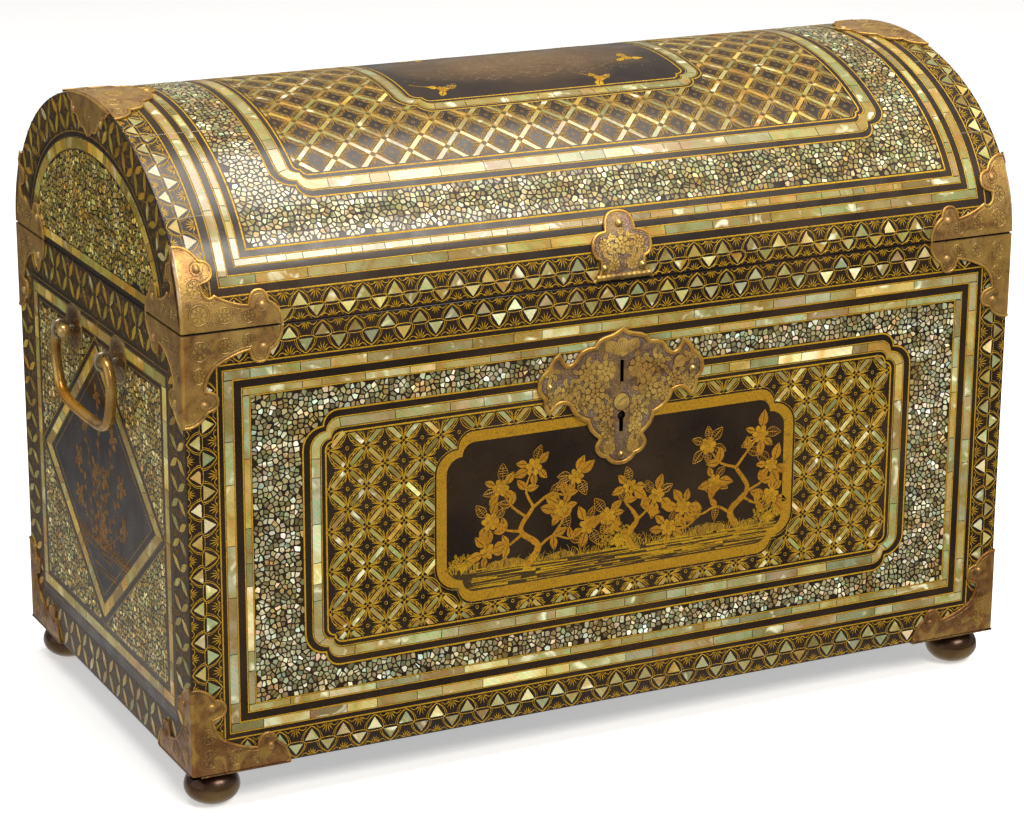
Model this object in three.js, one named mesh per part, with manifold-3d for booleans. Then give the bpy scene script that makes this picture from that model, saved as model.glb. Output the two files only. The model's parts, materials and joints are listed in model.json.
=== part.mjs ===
// A dome-lidded lacquer chest on bun feet, with lobed corner mounts, a lock plate and two side bails.
// Sizes are in millimetres and +Z is up. The lock faces -Y and the lid is hinged at +Y.
// The origin is on the floor, under the middle of the chest's outermost faces.
import * as THREE from 'three';
import { mergeVertices } from 'three/addons/utils/BufferGeometryUtils.js';
import Module from 'manifold-3d';

const wasm = await Module();
wasm.setup();

// Overall sizes
const chestWidth = 660;
const chestDepth = 350;
const bodyHeight = 317;
const lidRise = 127;
const wallThickness = 13;
const baseThickness = 12;

// Clearances
const fitGap = 0.3;
const seamGap = 0.6;
const knuckleGap = 0.4;
const knuckleSwingGap = 0.5;
const bailGap = 0.6;
const knobGap = 0.8;
const boltGuideGrip = 2;

// Lid
const staveThickness = 12;
const staveCount = 6;
const staveSteps = 6;
const lidEndThickness = 12;

// Feet
const footRadius = 20;
const footHeight = 29;
const footSetIn = 8;
const footWaistHeight = 13;
const footSeatRadius = 7;
const footCollarRadius = 9;
const footCollarHeight = 2;
const tenonRadius = 5;
const tenonLength = 8;
const footSides = 16;
const footSteps = 3;

// Corner mounts
const mountThickness = 1.2;
const mountArmAlong = 72;
const mountArmAcross = 67;
const mountArmUp = 65;
const lidMountArmUp = 56;
const lobeWidth = 25;
const lobeDepth = 25;
const notchDepth = 15.5;
const cuspDepth = 24;
const mountLip = 5;
const outlineSteps = 3;

// Ridge mounts at the tops of the lid's ends
const ridgeHalfWidth = 55;
const ridgeReach = 50;
const tongueHalfWidth = 44;
const tongueDrop = 28;
const tongueOverrun = 5;

// Small nails that hold the mounts
const studRadius = 2.8;
const studHeight = 1.8;
const studInset = 15;
const studDepth = 14;
const studSides = 6;
const hingeStudSpread = 12;
const hingeStudReach = 20;
const hingeTipStudInset = 9;

// Lock plate, its holes and its nails
const lockPlateThickness = 1.8;
const lockPlateDrop = 33;
const hornSpan = 49;
const slotWidth = 3.6;
const slotTop = 24;
const slotBottom = 41;
const keyholeDrop = 65.5;
const keyholeRadius = 3.6;
const keySlotWidth = 4.2;
const keySlotBottom = 78;
const boardSlotWidth = 10;
const boardKeyholeWidth = 13;
const boardHoleMargin = 3;
const nailHeadRadius = 3;
const nailHeadHeight = 2.4;
const nailShankRadius = 1.2;
const nailLength = 9;
const nailSides = 10;
const lockNailSpread = 57.5;
const lockNailDrop = 38;
const lockFootNailDrop = 95;

// Lock case, bolt and key post
const caseWidth = 86;
const caseTop = 14;
const caseBottom = 88;
const caseDepth = 16;
const caseWall = 1.5;
const boltThickness = 4;
const boltHeight = 9;
const boltLength = 35;
const boltTravel = 10;
const boltStandoff = 2;
const boltRest = 4.5;
const boltTailWidth = 8;
const boltTailDrop = 24;
const guideWidth = 4;
const guideRim = 3;
const keyPostRadius = 2.2;
const keyPostSetBack = 0.5;

// Hasp plate on the front of the lid
const haspPlateHalfWidth = 24;
const haspPlateHeight = 46;
const haspPlateLift = 2;
const haspRollRadius = 2.2;
const haspRollInset = 2;
const haspNailSpread = 15;
const haspNailRise = 8;
const haspTopNailInset = 9;

// Side handles
const eyeSpacing = 94;
const eyeBelowSeam = 50;
const eyeWireRadius = 1.5;
const shankRadius = 2.2;
const clinchLength = 14;
const clinchWidth = 4;
const clinchThickness = 1.5;
const rosetteRadius = 17.5;
const rosetteHeight = 2.8;
const rosetteRim = 0.8;
const bailRodRadius = 4;
const bailKnobLip = 1.2;
const bailBulge = 13;
const bailDrop = 51.5;

// Hinges
const hingeSpacing = 400;
const hingeLeafThickness = 1.5;
const hingeLeafHalfWidth = 18;
const hingeLeafLength = 54;
const knuckleRadius = 4.2;
const hingePinRadius = 2;
const hingePinHead = 1.2;
const hingePinHeadRadius = 3.2;
const lidOpenAngle = THREE.MathUtils.degToRad(100);
const spurLength = 1.8;
const spurHalfThickness = 0.8;
const spurHalfWidth = 4;

// How finely round things are made
const archSteps = 48;
const rodSides = 12;
const knuckleSides = 14;
const rosetteSides = 18;
const bailSteps = 32;

// What the cutting solids run past what they cut
const overcut = 1;

// Places worked out from the sizes above
const halfWidth = chestWidth / 2;
const halfDepth = chestDepth / 2;
const bodyBottom = footHeight;
const seam = bodyBottom + bodyHeight;
const lidBottom = seam + seamGap;
const innerHalfWidth = halfWidth - wallThickness;
const innerHalfDepth = halfDepth - wallThickness;
const lockTop = seam - lockPlateDrop;
const footInset = wallThickness + footSetIn;
const eyeHeight = seam - eyeBelowSeam;
const eyeHoleRadius = bailRodRadius + bailGap;
const eyeStandoff = rosetteHeight + bailGap + 2 * eyeWireRadius + eyeHoleRadius;
const bailKnobRadius = bailRodRadius + bailKnobLip;
const bailKnobInset = bailKnobRadius + eyeWireRadius + knobGap;
const hingeStandoff = knuckleRadius + knuckleGap;
const hingeAxisY = halfDepth + hingeStandoff;
const hingeAxisZ = seam + seamGap / 2;

const lacquer = { color: 0x2a2018, roughness: 0.35, metalness: 0 };
const giltCopper = { color: 0x8a6436, roughness: 0.45, metalness: 1 };
const bronze = { color: 0x7a5524, roughness: 0.3, metalness: 1 };
const iron = { color: 0x4a4238, roughness: 0.6, metalness: 1 };

const chest = new THREE.Group();

// Solids

function solidOf(geometry) {
  const bare = geometry.clone();
  bare.deleteAttribute('normal');
  bare.deleteAttribute('uv');
  const merged = mergeVertices(bare);
  const indices = merged.index.array;
  const faces = [];
  for (let i = 0; i < indices.length; i += 3) {
    const [a, b, c] = [indices[i], indices[i + 1], indices[i + 2]];
    if (a !== b && b !== c && c !== a) faces.push(a, b, c);
  }
  return new wasm.Manifold(new wasm.Mesh({
    numProp: 3,
    vertProperties: new Float32Array(merged.attributes.position.array),
    triVerts: new Uint32Array(faces),
  }));
}

function geometryOf(solid) {
  const { vertProperties, triVerts } = solid.getMesh();
  const geometry = new THREE.BufferGeometry();
  geometry.setAttribute('position', new THREE.BufferAttribute(vertProperties, 3));
  geometry.setIndex(new THREE.BufferAttribute(triVerts, 1));
  geometry.computeVertexNormals();
  return geometry;
}

function joined(...solids) {
  return solids.reduce((sum, solid) => sum.add(solid));
}

function block(low, high) {
  const size = new THREE.Vector3(...high).sub(new THREE.Vector3(...low));
  const box = new THREE.BoxGeometry(size.x, size.y, size.z);
  box.translate(low[0] + size.x / 2, low[1] + size.y / 2, low[2] + size.z / 2);
  return solidOf(box);
}

// An outline carried along one axis. Along x its points are (y, z), along y (x, z), along z (x, y).
function prism(points, axis, start, depth, holes = []) {
  const shape = new THREE.Shape(points.map(([u, v]) => new THREE.Vector2(u, v)));
  shape.holes = holes.map((hole) => new THREE.Path(hole.map(([u, v]) => new THREE.Vector2(u, v))));
  const body = new THREE.ExtrudeGeometry(shape, { depth, bevelEnabled: false });
  const right = new THREE.Vector3(1, 0, 0);
  const back = new THREE.Vector3(0, 1, 0);
  const up = new THREE.Vector3(0, 0, 1);
  if (axis === 'x') {
    body.applyMatrix4(new THREE.Matrix4().makeBasis(back, up, right));
    body.translate(start, 0, 0);
  } else if (axis === 'y') {
    body.applyMatrix4(new THREE.Matrix4().makeBasis(right, up, back.negate()));
    body.translate(0, start + depth, 0);
  } else {
    body.translate(0, 0, start);
  }
  return solidOf(body);
}

// A round rod from one point to another.
function rod(from, to, radius, sides) {
  const start = new THREE.Vector3(...from);
  const line = new THREE.Vector3(...to).sub(start);
  const cylinder = new THREE.CylinderGeometry(radius, radius, line.length(), sides);
  cylinder.translate(0, line.length() / 2, 0);
  const turn = new THREE.Quaternion().setFromUnitVectors(new THREE.Vector3(0, 1, 0), line.normalize());
  cylinder.applyQuaternion(turn);
  cylinder.translate(start.x, start.y, start.z);
  return solidOf(cylinder);
}

// A turned solid: the profile's (radius, height) points go round an axis through base.
function turned(profile, base, axis, sides) {
  const lathe = new THREE.LatheGeometry(profile.map(([r, h]) => new THREE.Vector2(r, h)), sides);
  const turn = new THREE.Quaternion().setFromUnitVectors(new THREE.Vector3(0, 1, 0), axis.clone().normalize());
  lathe.applyQuaternion(turn);
  lathe.translate(base.x, base.y, base.z);
  return solidOf(lathe);
}

function addPiece(name, solid, finish, flipX = false, flipY = false) {
  const mesh = new THREE.Mesh(geometryOf(solid), new THREE.MeshStandardMaterial(finish));
  mesh.name = name;
  mesh.scale.set(flipX ? -1 : 1, flipY ? -1 : 1, 1);
  chest.add(mesh);
}

const corners = [
  ['front_left', false, false],
  ['front_right', true, false],
  ['back_left', false, true],
  ['back_right', true, true],
];

const sides = [
  ['left', false],
  ['right', true],
];

// The arch of the lid

// A point (y, z) on the arch, moved outward along its normal. Angle 0 is the back rim, pi the front rim.
function archPoint(angle, outward) {
  const normal = new THREE.Vector2(Math.cos(angle) / halfDepth, Math.sin(angle) / lidRise).normalize();
  const y = halfDepth * Math.cos(angle) + outward * normal.x;
  const z = lidBottom + lidRise * Math.sin(angle) + outward * normal.y;
  return [y, z];
}

function archSpeed(angle) {
  return Math.hypot(halfDepth * Math.sin(angle), lidRise * Math.cos(angle));
}

function archLine(from, to, steps, outward) {
  const line = [];
  for (let i = 0; i <= steps; i += 1) line.push(archPoint(from + ((to - from) * i) / steps, outward));
  return line;
}

// Angles that share the arch into pieces of one length.
function archJoints(count) {
  const steps = 720;
  const lengths = [0];
  for (let i = 0; i < steps; i += 1) {
    lengths.push(lengths[i] + (archSpeed(((i + 0.5) * Math.PI) / steps) * Math.PI) / steps);
  }
  const joints = [];
  for (let k = 0; k <= count; k += 1) {
    const wanted = (lengths[steps] * k) / count;
    const step = Math.max(1, lengths.findIndex((length) => length >= wanted - fitGap / steps));
    const share = (wanted - lengths[step - 1]) / (lengths[step] - lengths[step - 1]);
    joints.push(((step - 1 + share) * Math.PI) / steps);
  }
  return joints;
}

// The space under the arch, or under a line outward of it.
function underArch(outward, start, depth) {
  return prism(archLine(0, Math.PI, archSteps, outward), 'x', start, depth);
}

// A thin skin that lies over the arch.
function archSkin(start, depth, thickness) {
  const outer = archLine(0, Math.PI, archSteps, fitGap + thickness);
  const inner = archLine(Math.PI, 0, archSteps, fitGap);
  return prism(outer.concat(inner), 'x', start, depth);
}

// The point of the arch's skin that is straight out from a height above the rim, and its normal.
function skinPoint(x, height, thickness, side) {
  const rise = Math.asin(height / lidRise);
  const angle = side === 'front' ? Math.PI - rise : rise;
  const [y, z] = archPoint(angle, fitGap + thickness);
  const [innerY, innerZ] = archPoint(angle, 0);
  return {
    point: new THREE.Vector3(x, y, z),
    normal: new THREE.Vector3(0, y - innerY, z - innerZ).normalize(),
  };
}

// Chest body

function makeBase() {
  let base = block(
    [-innerHalfWidth, -innerHalfDepth, bodyBottom],
    [innerHalfWidth, innerHalfDepth, bodyBottom + baseThickness],
  );
  for (const [, flipX, flipY] of corners) {
    const [x, y] = footPlace(flipX, flipY);
    const top = bodyBottom + tenonLength + fitGap;
    base = base.subtract(rod([x, y, bodyBottom - overcut], [x, y, top], tenonRadius + fitGap, footSides));
  }
  addPiece('base_board', base, lacquer);
}

function lockNailPlaces() {
  return [
    ['lock_nail_left', -lockNailSpread, lockNailDrop],
    ['lock_nail_right', lockNailSpread, lockNailDrop],
    ['lock_nail_bottom', 0, lockFootNailDrop],
  ];
}

function makeFrontBoard() {
  let board = block([-halfWidth, -halfDepth, bodyBottom], [halfWidth, -innerHalfDepth, seam]);
  const halfSlot = boardSlotWidth / 2;
  const halfKeyhole = boardKeyholeWidth / 2;
  const out = -halfDepth - overcut;
  const inside = -innerHalfDepth + overcut;
  board = board.subtract(block(
    [-halfSlot, out, lockTop - slotBottom - boardHoleMargin],
    [halfSlot, inside, lockTop - slotTop + boardHoleMargin],
  ));
  board = board.subtract(block(
    [-halfKeyhole, out, lockTop - keySlotBottom - boardHoleMargin],
    [halfKeyhole, inside, lockTop - keyholeDrop + keyholeRadius + boardHoleMargin],
  ));
  for (const [, x, drop] of lockNailPlaces()) {
    const z = lockTop - drop;
    const deep = -halfDepth + nailLength;
    board = board.subtract(rod([x, out, z], [x, deep, z], nailShankRadius + fitGap, nailSides));
  }
  addPiece('front_board', board, lacquer);
}

function makeBackBoard() {
  const board = block([-halfWidth, innerHalfDepth, bodyBottom], [halfWidth, halfDepth, seam]);
  addPiece('back_board', board, lacquer);
}

function makeSideBoards() {
  let board = block([-halfWidth, -innerHalfDepth, bodyBottom], [-innerHalfWidth, innerHalfDepth, seam]);
  for (const y of [-eyeSpacing / 2, eyeSpacing / 2]) {
    const outside = [-halfWidth - overcut, y, eyeHeight];
    const inside = [-innerHalfWidth + overcut, y, eyeHeight];
    board = board.subtract(rod(outside, inside, shankRadius + fitGap, rodSides));
  }
  for (const [side, flip] of sides) addPiece(`${side}_board`, board, lacquer, flip);
}

// Feet

function footPlace(flipX, flipY) {
  const x = halfWidth - footInset;
  const y = halfDepth - footInset;
  return [flipX ? x : -x, flipY ? y : -y];
}

function footProfile() {
  const profile = [[0, 0]];
  const seatAngle = Math.acos(footSeatRadius / footRadius);
  const collarAngle = Math.acos(footCollarRadius / footRadius);
  const lowerReach = footWaistHeight / Math.sin(seatAngle);
  const upperReach = (footHeight - footCollarHeight - footWaistHeight) / Math.sin(collarAngle);
  for (let i = 0; i <= footSteps; i += 1) {
    const angle = (seatAngle * (footSteps - i)) / footSteps;
    profile.push([footRadius * Math.cos(angle), footWaistHeight - lowerReach * Math.sin(angle)]);
  }
  for (let i = 1; i <= footSteps; i += 1) {
    const angle = (collarAngle * i) / footSteps;
    profile.push([footRadius * Math.cos(angle), footWaistHeight + upperReach * Math.sin(angle)]);
  }
  profile.push([footCollarRadius, footHeight]);
  profile.push([tenonRadius, footHeight]);
  profile.push([tenonRadius, footHeight + tenonLength]);
  profile.push([0, footHeight + tenonLength]);
  return profile;
}

function makeFeet() {
  const [x, y] = footPlace(false, false);
  const foot = turned(footProfile(), new THREE.Vector3(x, y, 0), new THREE.Vector3(0, 0, 1), footSides);
  for (const [place, flipX, flipY] of corners) addPiece(`foot_${place}`, foot, bronze, flipX, flipY);
}

// Corner mounts

// One lobed arm, from its tip to the cusp on the diagonal, as (along, inward) points.
function armOutline(arm) {
  const path = new THREE.Path();
  path.moveTo(arm, 0);
  path.lineTo(arm, 4);
  path.quadraticCurveTo(arm - 2, 13, arm - 9.5, 17);
  path.quadraticCurveTo(arm - 10.5, lobeDepth, arm - 17, lobeDepth);
  path.quadraticCurveTo(arm - lobeWidth + 1, lobeDepth, arm - lobeWidth, notchDepth);
  path.quadraticCurveTo(arm - lobeWidth - 12, notchDepth + 2, cuspDepth, cuspDepth);
  return path.getPoints(outlineSteps).map((point) => [point.x, point.y]);
}

// The mount's outline on one face. Its corner is the origin, and it runs on by wrap past both edges.
function mountOutline(along, up, wrap, drop) {
  const alongArm = armOutline(along);
  const upArm = armOutline(up).map(([u, v]) => [v, u]).reverse();
  const outline = [[-wrap, -drop]].concat(drop > 0 ? [[along, -drop]] : [], alongArm, upArm.slice(1));
  return outline.concat([[-wrap, up]]);
}

function stud(point, normal) {
  const profile = [
    [0, 0],
    [studRadius, 0],
    [studRadius * 0.75, studHeight * 0.7],
    [0, studHeight],
  ];
  const base = point.clone().addScaledVector(normal, -mountThickness / 3);
  return turned(profile, base, normal, studSides);
}

// Where the two nails of one face go, as (along, up) points.
function studPlaces(along, up) {
  return [
    [along - studInset, studDepth],
    [studDepth, up - studInset],
  ];
}

function bodyMount(upper) {
  const height = (v) => (upper ? seam - v : bodyBottom + v);
  const drop = upper ? 0 : mountThickness;
  const front = mountOutline(mountArmAlong, mountArmUp, mountThickness, drop);
  const side = mountOutline(mountArmAcross, mountArmUp, mountThickness, drop);
  const outX = -halfWidth - mountThickness;
  const outY = -halfDepth - mountThickness;
  let mount = joined(
    prism(front.map(([u, v]) => [-halfWidth + u, height(v)]), 'y', outY, mountThickness),
    prism(side.map(([u, v]) => [-halfDepth + u, height(v)]), 'x', outX, mountThickness),
  );
  const forward = new THREE.Vector3(0, -1, 0);
  const sideways = new THREE.Vector3(-1, 0, 0);
  for (const [u, v] of studPlaces(mountArmAlong, mountArmUp)) {
    mount = mount.add(stud(new THREE.Vector3(-halfWidth + u, outY, height(v)), forward));
  }
  for (const [u, v] of studPlaces(mountArmAcross, mountArmUp)) {
    mount = mount.add(stud(new THREE.Vector3(outX, -halfDepth + u, height(v)), sideways));
  }
  if (!upper) {
    const low = bodyBottom - mountThickness;
    mount = joined(
      mount,
      block([outX, outY, low], [-halfWidth + mountArmAlong, -halfDepth + mountLip, bodyBottom]),
      block([outX, outY, low], [-halfWidth + mountLip, -halfDepth + mountArmAcross, bodyBottom]),
    );
  }
  return mount;
}

function makeBodyMounts() {
  const upper = bodyMount(true);
  const lower = bodyMount(false);
  for (const [place, flipX, flipY] of corners) {
    addPiece(`mount_upper_${place}`, upper, giltCopper, flipX, flipY);
    addPiece(`mount_lower_${place}`, lower, giltCopper, flipX, flipY);
  }
}

function makeLidMounts() {
  const front = mountOutline(mountArmAlong, lidMountArmUp, mountThickness, 0);
  const side = mountOutline(mountArmAcross, lidMountArmUp, mountThickness, 0);
  const outX = -halfWidth - mountThickness;
  const outY = -halfDepth - mountThickness - fitGap;
  const reach = mountArmAlong + 2 * mountThickness;
  const onSkin = prism(front.map(([u, v]) => [-halfWidth + u, lidBottom + v]), 'y', outY, mountArmAcross);
  const onEnd = prism(side.map(([u, v]) => [-halfDepth + u, lidBottom + v]), 'x', outX, mountThickness);
  let mount = joined(
    onSkin.intersect(archSkin(outX, reach, mountThickness)),
    onEnd.intersect(underArch(fitGap + mountThickness, outX - overcut, reach)),
  );
  for (const [u, v] of studPlaces(mountArmAlong, lidMountArmUp)) {
    const { point, normal } = skinPoint(-halfWidth + u, v, mountThickness, 'front');
    mount = mount.add(stud(point, normal));
  }
  const endNail = new THREE.Vector3(outX, -halfDepth + mountArmAcross - studInset, lidBottom + studDepth);
  mount = mount.add(stud(endNail, new THREE.Vector3(-1, 0, 0)));
  for (const [place, flipX, flipY] of corners) addPiece(`mount_lid_${place}`, mount, giltCopper, flipX, flipY);
}

// Half of a lobed outline about an axis: from the edge at full width to the tip, as (across, reach).
function tongueHalf(width, reach) {
  const path = new THREE.Path();
  path.moveTo(width, 0);
  path.quadraticCurveTo(width - 2, reach * 0.3, width * 0.76, reach * 0.32);
  path.quadraticCurveTo(width * 0.74, reach * 0.62, width * 0.5, reach * 0.6);
  path.quadraticCurveTo(width * 0.4, reach * 0.9, width * 0.18, reach * 0.84);
  path.quadraticCurveTo(width * 0.1, reach * 0.98, 0, reach);
  return path.getPoints(outlineSteps).map((point) => [point.x, point.y]);
}

// The whole lobed outline, run on by wrap behind its straight edge.
function tongueOutline(width, reach, wrap) {
  const half = tongueHalf(width, reach);
  const other = half.slice(0, -1).map(([u, v]) => [-u, v]).reverse();
  return [[-width, -wrap], [width, -wrap]].concat(half, other);
}

function makeRidgeMounts() {
  const outX = -halfWidth - mountThickness;
  const ridge = lidBottom + lidRise;
  const top = tongueOutline(ridgeHalfWidth, ridgeReach, mountThickness);
  const end = tongueOutline(tongueHalfWidth, tongueDrop, tongueOverrun);
  const onSkin = prism(top.map(([u, v]) => [-halfWidth + v, u]), 'z', lidBottom + lidRise / 2, lidRise);
  const onEnd = prism(end.map(([u, v]) => [u, ridge - v]), 'x', outX, mountThickness);
  let mount = joined(
    onSkin.intersect(archSkin(outX, ridgeReach + 2 * mountThickness, mountThickness)),
    onEnd.intersect(underArch(fitGap + mountThickness, outX - overcut, ridgeReach)),
  );
  const up = new THREE.Vector3(0, 0, 1);
  const tipX = -halfWidth + ridgeReach - studDepth / 2;
  mount = mount.add(stud(new THREE.Vector3(tipX, 0, ridge + fitGap + mountThickness), up));
  for (const side of [-1, 1]) {
    const across = side * (tongueHalfWidth - studInset);
    const endNail = new THREE.Vector3(outX, across, ridge - tongueDrop / 2);
    mount = mount.add(stud(endNail, new THREE.Vector3(-1, 0, 0)));
  }
  for (const [side, flip] of sides) addPiece(`mount_ridge_${side}`, mount, giltCopper, flip);
}

// Lid

function nailHole(point, normal) {
  const start = point.clone().addScaledVector(normal, nailHeadHeight);
  const end = point.clone().addScaledVector(normal, -nailLength);
  return rod(start.toArray(), end.toArray(), nailShankRadius + fitGap, nailSides);
}

function nail(point, normal) {
  const profile = [
    [0, -nailLength + fitGap],
    [nailShankRadius, -nailLength + fitGap],
    [nailShankRadius, fitGap / 3],
    [nailHeadRadius, fitGap / 3],
    [nailHeadRadius * 0.7, nailHeadHeight * 0.7],
    [0, nailHeadHeight],
  ];
  return turned(profile, point, normal, nailSides);
}

function haspNails() {
  const low = haspPlateLift + haspNailRise;
  const high = haspPlateLift + haspPlateHeight - haspTopNailInset;
  return [
    ['hasp_nail_top', skinPoint(0, high, lockPlateThickness, 'front')],
    ['hasp_nail_left', skinPoint(-haspNailSpread, low, lockPlateThickness, 'front')],
    ['hasp_nail_right', skinPoint(haspNailSpread, low, lockPlateThickness, 'front')],
  ];
}

function makeStaves() {
  const joints = archJoints(staveCount);
  for (let k = 0; k < staveCount; k += 1) {
    const from = k === 0 ? 0 : joints[k] + fitGap / 2 / archSpeed(joints[k]);
    const last = k === staveCount - 1;
    const to = last ? Math.PI : joints[k + 1] - fitGap / 2 / archSpeed(joints[k + 1]);
    const outer = archLine(from, to, staveSteps, 0);
    const inner = archLine(to, from, staveSteps, -staveThickness);
    let stave = prism(outer.concat(inner), 'x', -halfWidth, chestWidth);
    if (last) for (const [, { point, normal }] of haspNails()) stave = stave.subtract(nailHole(point, normal));
    addPiece(`lid_stave_${k + 1}`, stave, lacquer);
  }
}

function makeLidEnds() {
  const end = underArch(-staveThickness - fitGap, -halfWidth, lidEndThickness);
  for (const [side, flip] of sides) addPiece(`lid_end_${side}`, end, lacquer, flip);
}

// Half of the hasp plate's trefoil, from the lower corner up to the top, as (across, up).
function haspHalf() {
  const path = new THREE.Path();
  path.moveTo(haspPlateHalfWidth, 0);
  path.quadraticCurveTo(haspPlateHalfWidth - 8, 5, haspPlateHalfWidth - 6, 14);
  path.quadraticCurveTo(haspPlateHalfWidth, 15, haspPlateHalfWidth, 23);
  path.quadraticCurveTo(haspPlateHalfWidth - 1, 33, 12, 33);
  path.quadraticCurveTo(13, haspPlateHeight, 0, haspPlateHeight);
  return path.getPoints(outlineSteps + 1).map((point) => [point.x, point.y]);
}

function makeHaspPlate() {
  const half = haspHalf();
  const other = half.slice(0, -1).map(([u, v]) => [-u, v]).reverse();
  const outline = half.concat(other).map(([u, v]) => [u, lidBottom + haspPlateLift + v]);
  const skin = archSkin(-halfWidth, chestWidth, lockPlateThickness);
  const rollEnd = haspPlateHalfWidth - haspRollInset;
  const rollY = -halfDepth - fitGap - haspRollRadius;
  const rollZ = lidBottom + haspPlateLift + haspRollRadius;
  const roll = rod([-rollEnd, rollY, rollZ], [rollEnd, rollY, rollZ], haspRollRadius, rodSides);
  const outY = -halfDepth - lockPlateThickness - fitGap;
  let plate = prism(outline, 'y', outY, haspPlateHeight).intersect(skin).add(roll);
  for (const [name, { point, normal }] of haspNails()) {
    plate = plate.subtract(nailHole(point, normal));
    addPiece(name, nail(point, normal), giltCopper);
  }
  addPiece('hasp_plate', plate, giltCopper);
}

// Lock

// Half of the lock plate's outline, from the top cusp down to the foot, as (across, drop).
function lockHalf() {
  const path = new THREE.Path();
  path.moveTo(0, 0);
  path.quadraticCurveTo(6, 4.5, 13, 5.3);
  path.quadraticCurveTo(20, 6.5, 22.5, 12);
  path.quadraticCurveTo(33, 11.5, 36.5, 18.5);
  path.quadraticCurveTo(43.5, 29, hornSpan, 14);
  path.quadraticCurveTo(56, 15, 59, 24);
  path.quadraticCurveTo(67, 29, 67, 36);
  path.quadraticCurveTo(67, 43, 62, 46);
  path.quadraticCurveTo(63, 54, 57, 59);
  path.quadraticCurveTo(50, 48, 42, 53);
  path.quadraticCurveTo(38, 64, 27.5, 67);
  path.quadraticCurveTo(26, 76, 17.5, 81);
  path.quadraticCurveTo(22, 86, 20.5, 90);
  path.quadraticCurveTo(17, 96, 12, 96);
  path.quadraticCurveTo(8, 102.5, 0, 102.5);
  return path.getPoints(outlineSteps).map((point) => [point.x, point.y]);
}

function keyholeOutline() {
  const outline = [];
  const half = keySlotWidth / 2;
  const opening = Math.asin(half / keyholeRadius);
  const steps = 10;
  for (let i = 0; i <= steps; i += 1) {
    const angle = opening + ((2 * Math.PI - 2 * opening) * i) / steps;
    const across = keyholeRadius * Math.sin(angle);
    outline.push([across, lockTop - keyholeDrop - keyholeRadius * Math.cos(angle)]);
  }
  outline.push([-half, lockTop - keySlotBottom]);
  outline.push([half, lockTop - keySlotBottom]);
  return outline;
}

function makeLockPlate() {
  const half = lockHalf();
  const other = half.slice(1, -1).map(([u, v]) => [-u, v]).reverse();
  const outline = half.concat(other).map(([u, v]) => [u, lockTop - v]);
  const slot = [
    [-slotWidth / 2, lockTop - slotBottom],
    [slotWidth / 2, lockTop - slotBottom],
    [slotWidth / 2, lockTop - slotTop],
    [-slotWidth / 2, lockTop - slotTop],
  ];
  const outer = -halfDepth - lockPlateThickness;
  let plate = prism(outline, 'y', outer, lockPlateThickness, [slot, keyholeOutline()]);
  const forward = new THREE.Vector3(0, -1, 0);
  for (const [name, x, drop] of lockNailPlaces()) {
    const point = new THREE.Vector3(x, outer, lockTop - drop);
    plate = plate.subtract(nailHole(point, forward));
    addPiece(name, nail(point, forward), giltCopper);
  }
  addPiece('lock_plate', plate, giltCopper);
}

const boltHeightCentre = lockTop - (slotTop + slotBottom) / 2;
const boltFront = -innerHalfDepth + boltStandoff;

// One guide that the bolt slides through, on the back of the lock case.
function boltGuide(x) {
  const halfBolt = boltHeight / 2;
  const guide = block(
    [x, -innerHalfDepth + fitGap, boltHeightCentre - halfBolt - guideRim],
    [x + guideWidth, -innerHalfDepth + caseDepth - caseWall / 2, boltHeightCentre + halfBolt + guideRim],
  );
  return guide.subtract(block(
    [x - overcut, boltFront - fitGap, boltHeightCentre - halfBolt - fitGap],
    [x + guideWidth + overcut, boltFront + boltThickness + fitGap, boltHeightCentre + halfBolt + fitGap],
  ));
}

function makeLockCase() {
  const front = -innerHalfDepth;
  const back = front + caseDepth;
  const shell = block([-caseWidth / 2, front, lockTop - caseBottom], [caseWidth / 2, back, lockTop - caseTop]);
  const hollow = block(
    [-caseWidth / 2 + caseWall, front - overcut, lockTop - caseBottom + caseWall],
    [caseWidth / 2 - caseWall, back - caseWall, lockTop - caseTop - caseWall],
  );
  const farGuide = -boltRest - boltLength + boltTravel - boltGuideGrip;
  const nearGuide = -boltRest - guideWidth;
  addPiece('lock_case', joined(shell.subtract(hollow), boltGuide(farGuide), boltGuide(nearGuide)), iron);
}

function makeLockBolt() {
  const right = -boltRest;
  const left = right - boltLength;
  const tailRight = right - guideWidth - boltTravel - fitGap;
  const low = boltHeightCentre - boltHeight / 2;
  const bar = block([left, boltFront, low], [right, boltFront + boltThickness, low + boltHeight]);
  const tail = block(
    [tailRight - boltTailWidth, boltFront, low - boltTailDrop],
    [tailRight, boltFront + boltThickness, low + overcut],
  );
  addPiece('lock_bolt', joined(bar, tail), iron);
}

function makeKeyPost() {
  const z = lockTop - keyholeDrop;
  const back = -innerHalfDepth + caseDepth - caseWall;
  addPiece('key_post', rod([0, -halfDepth + keyPostSetBack, z], [0, back, z], keyPostRadius, rodSides), iron);
}

// Side handles

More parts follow.
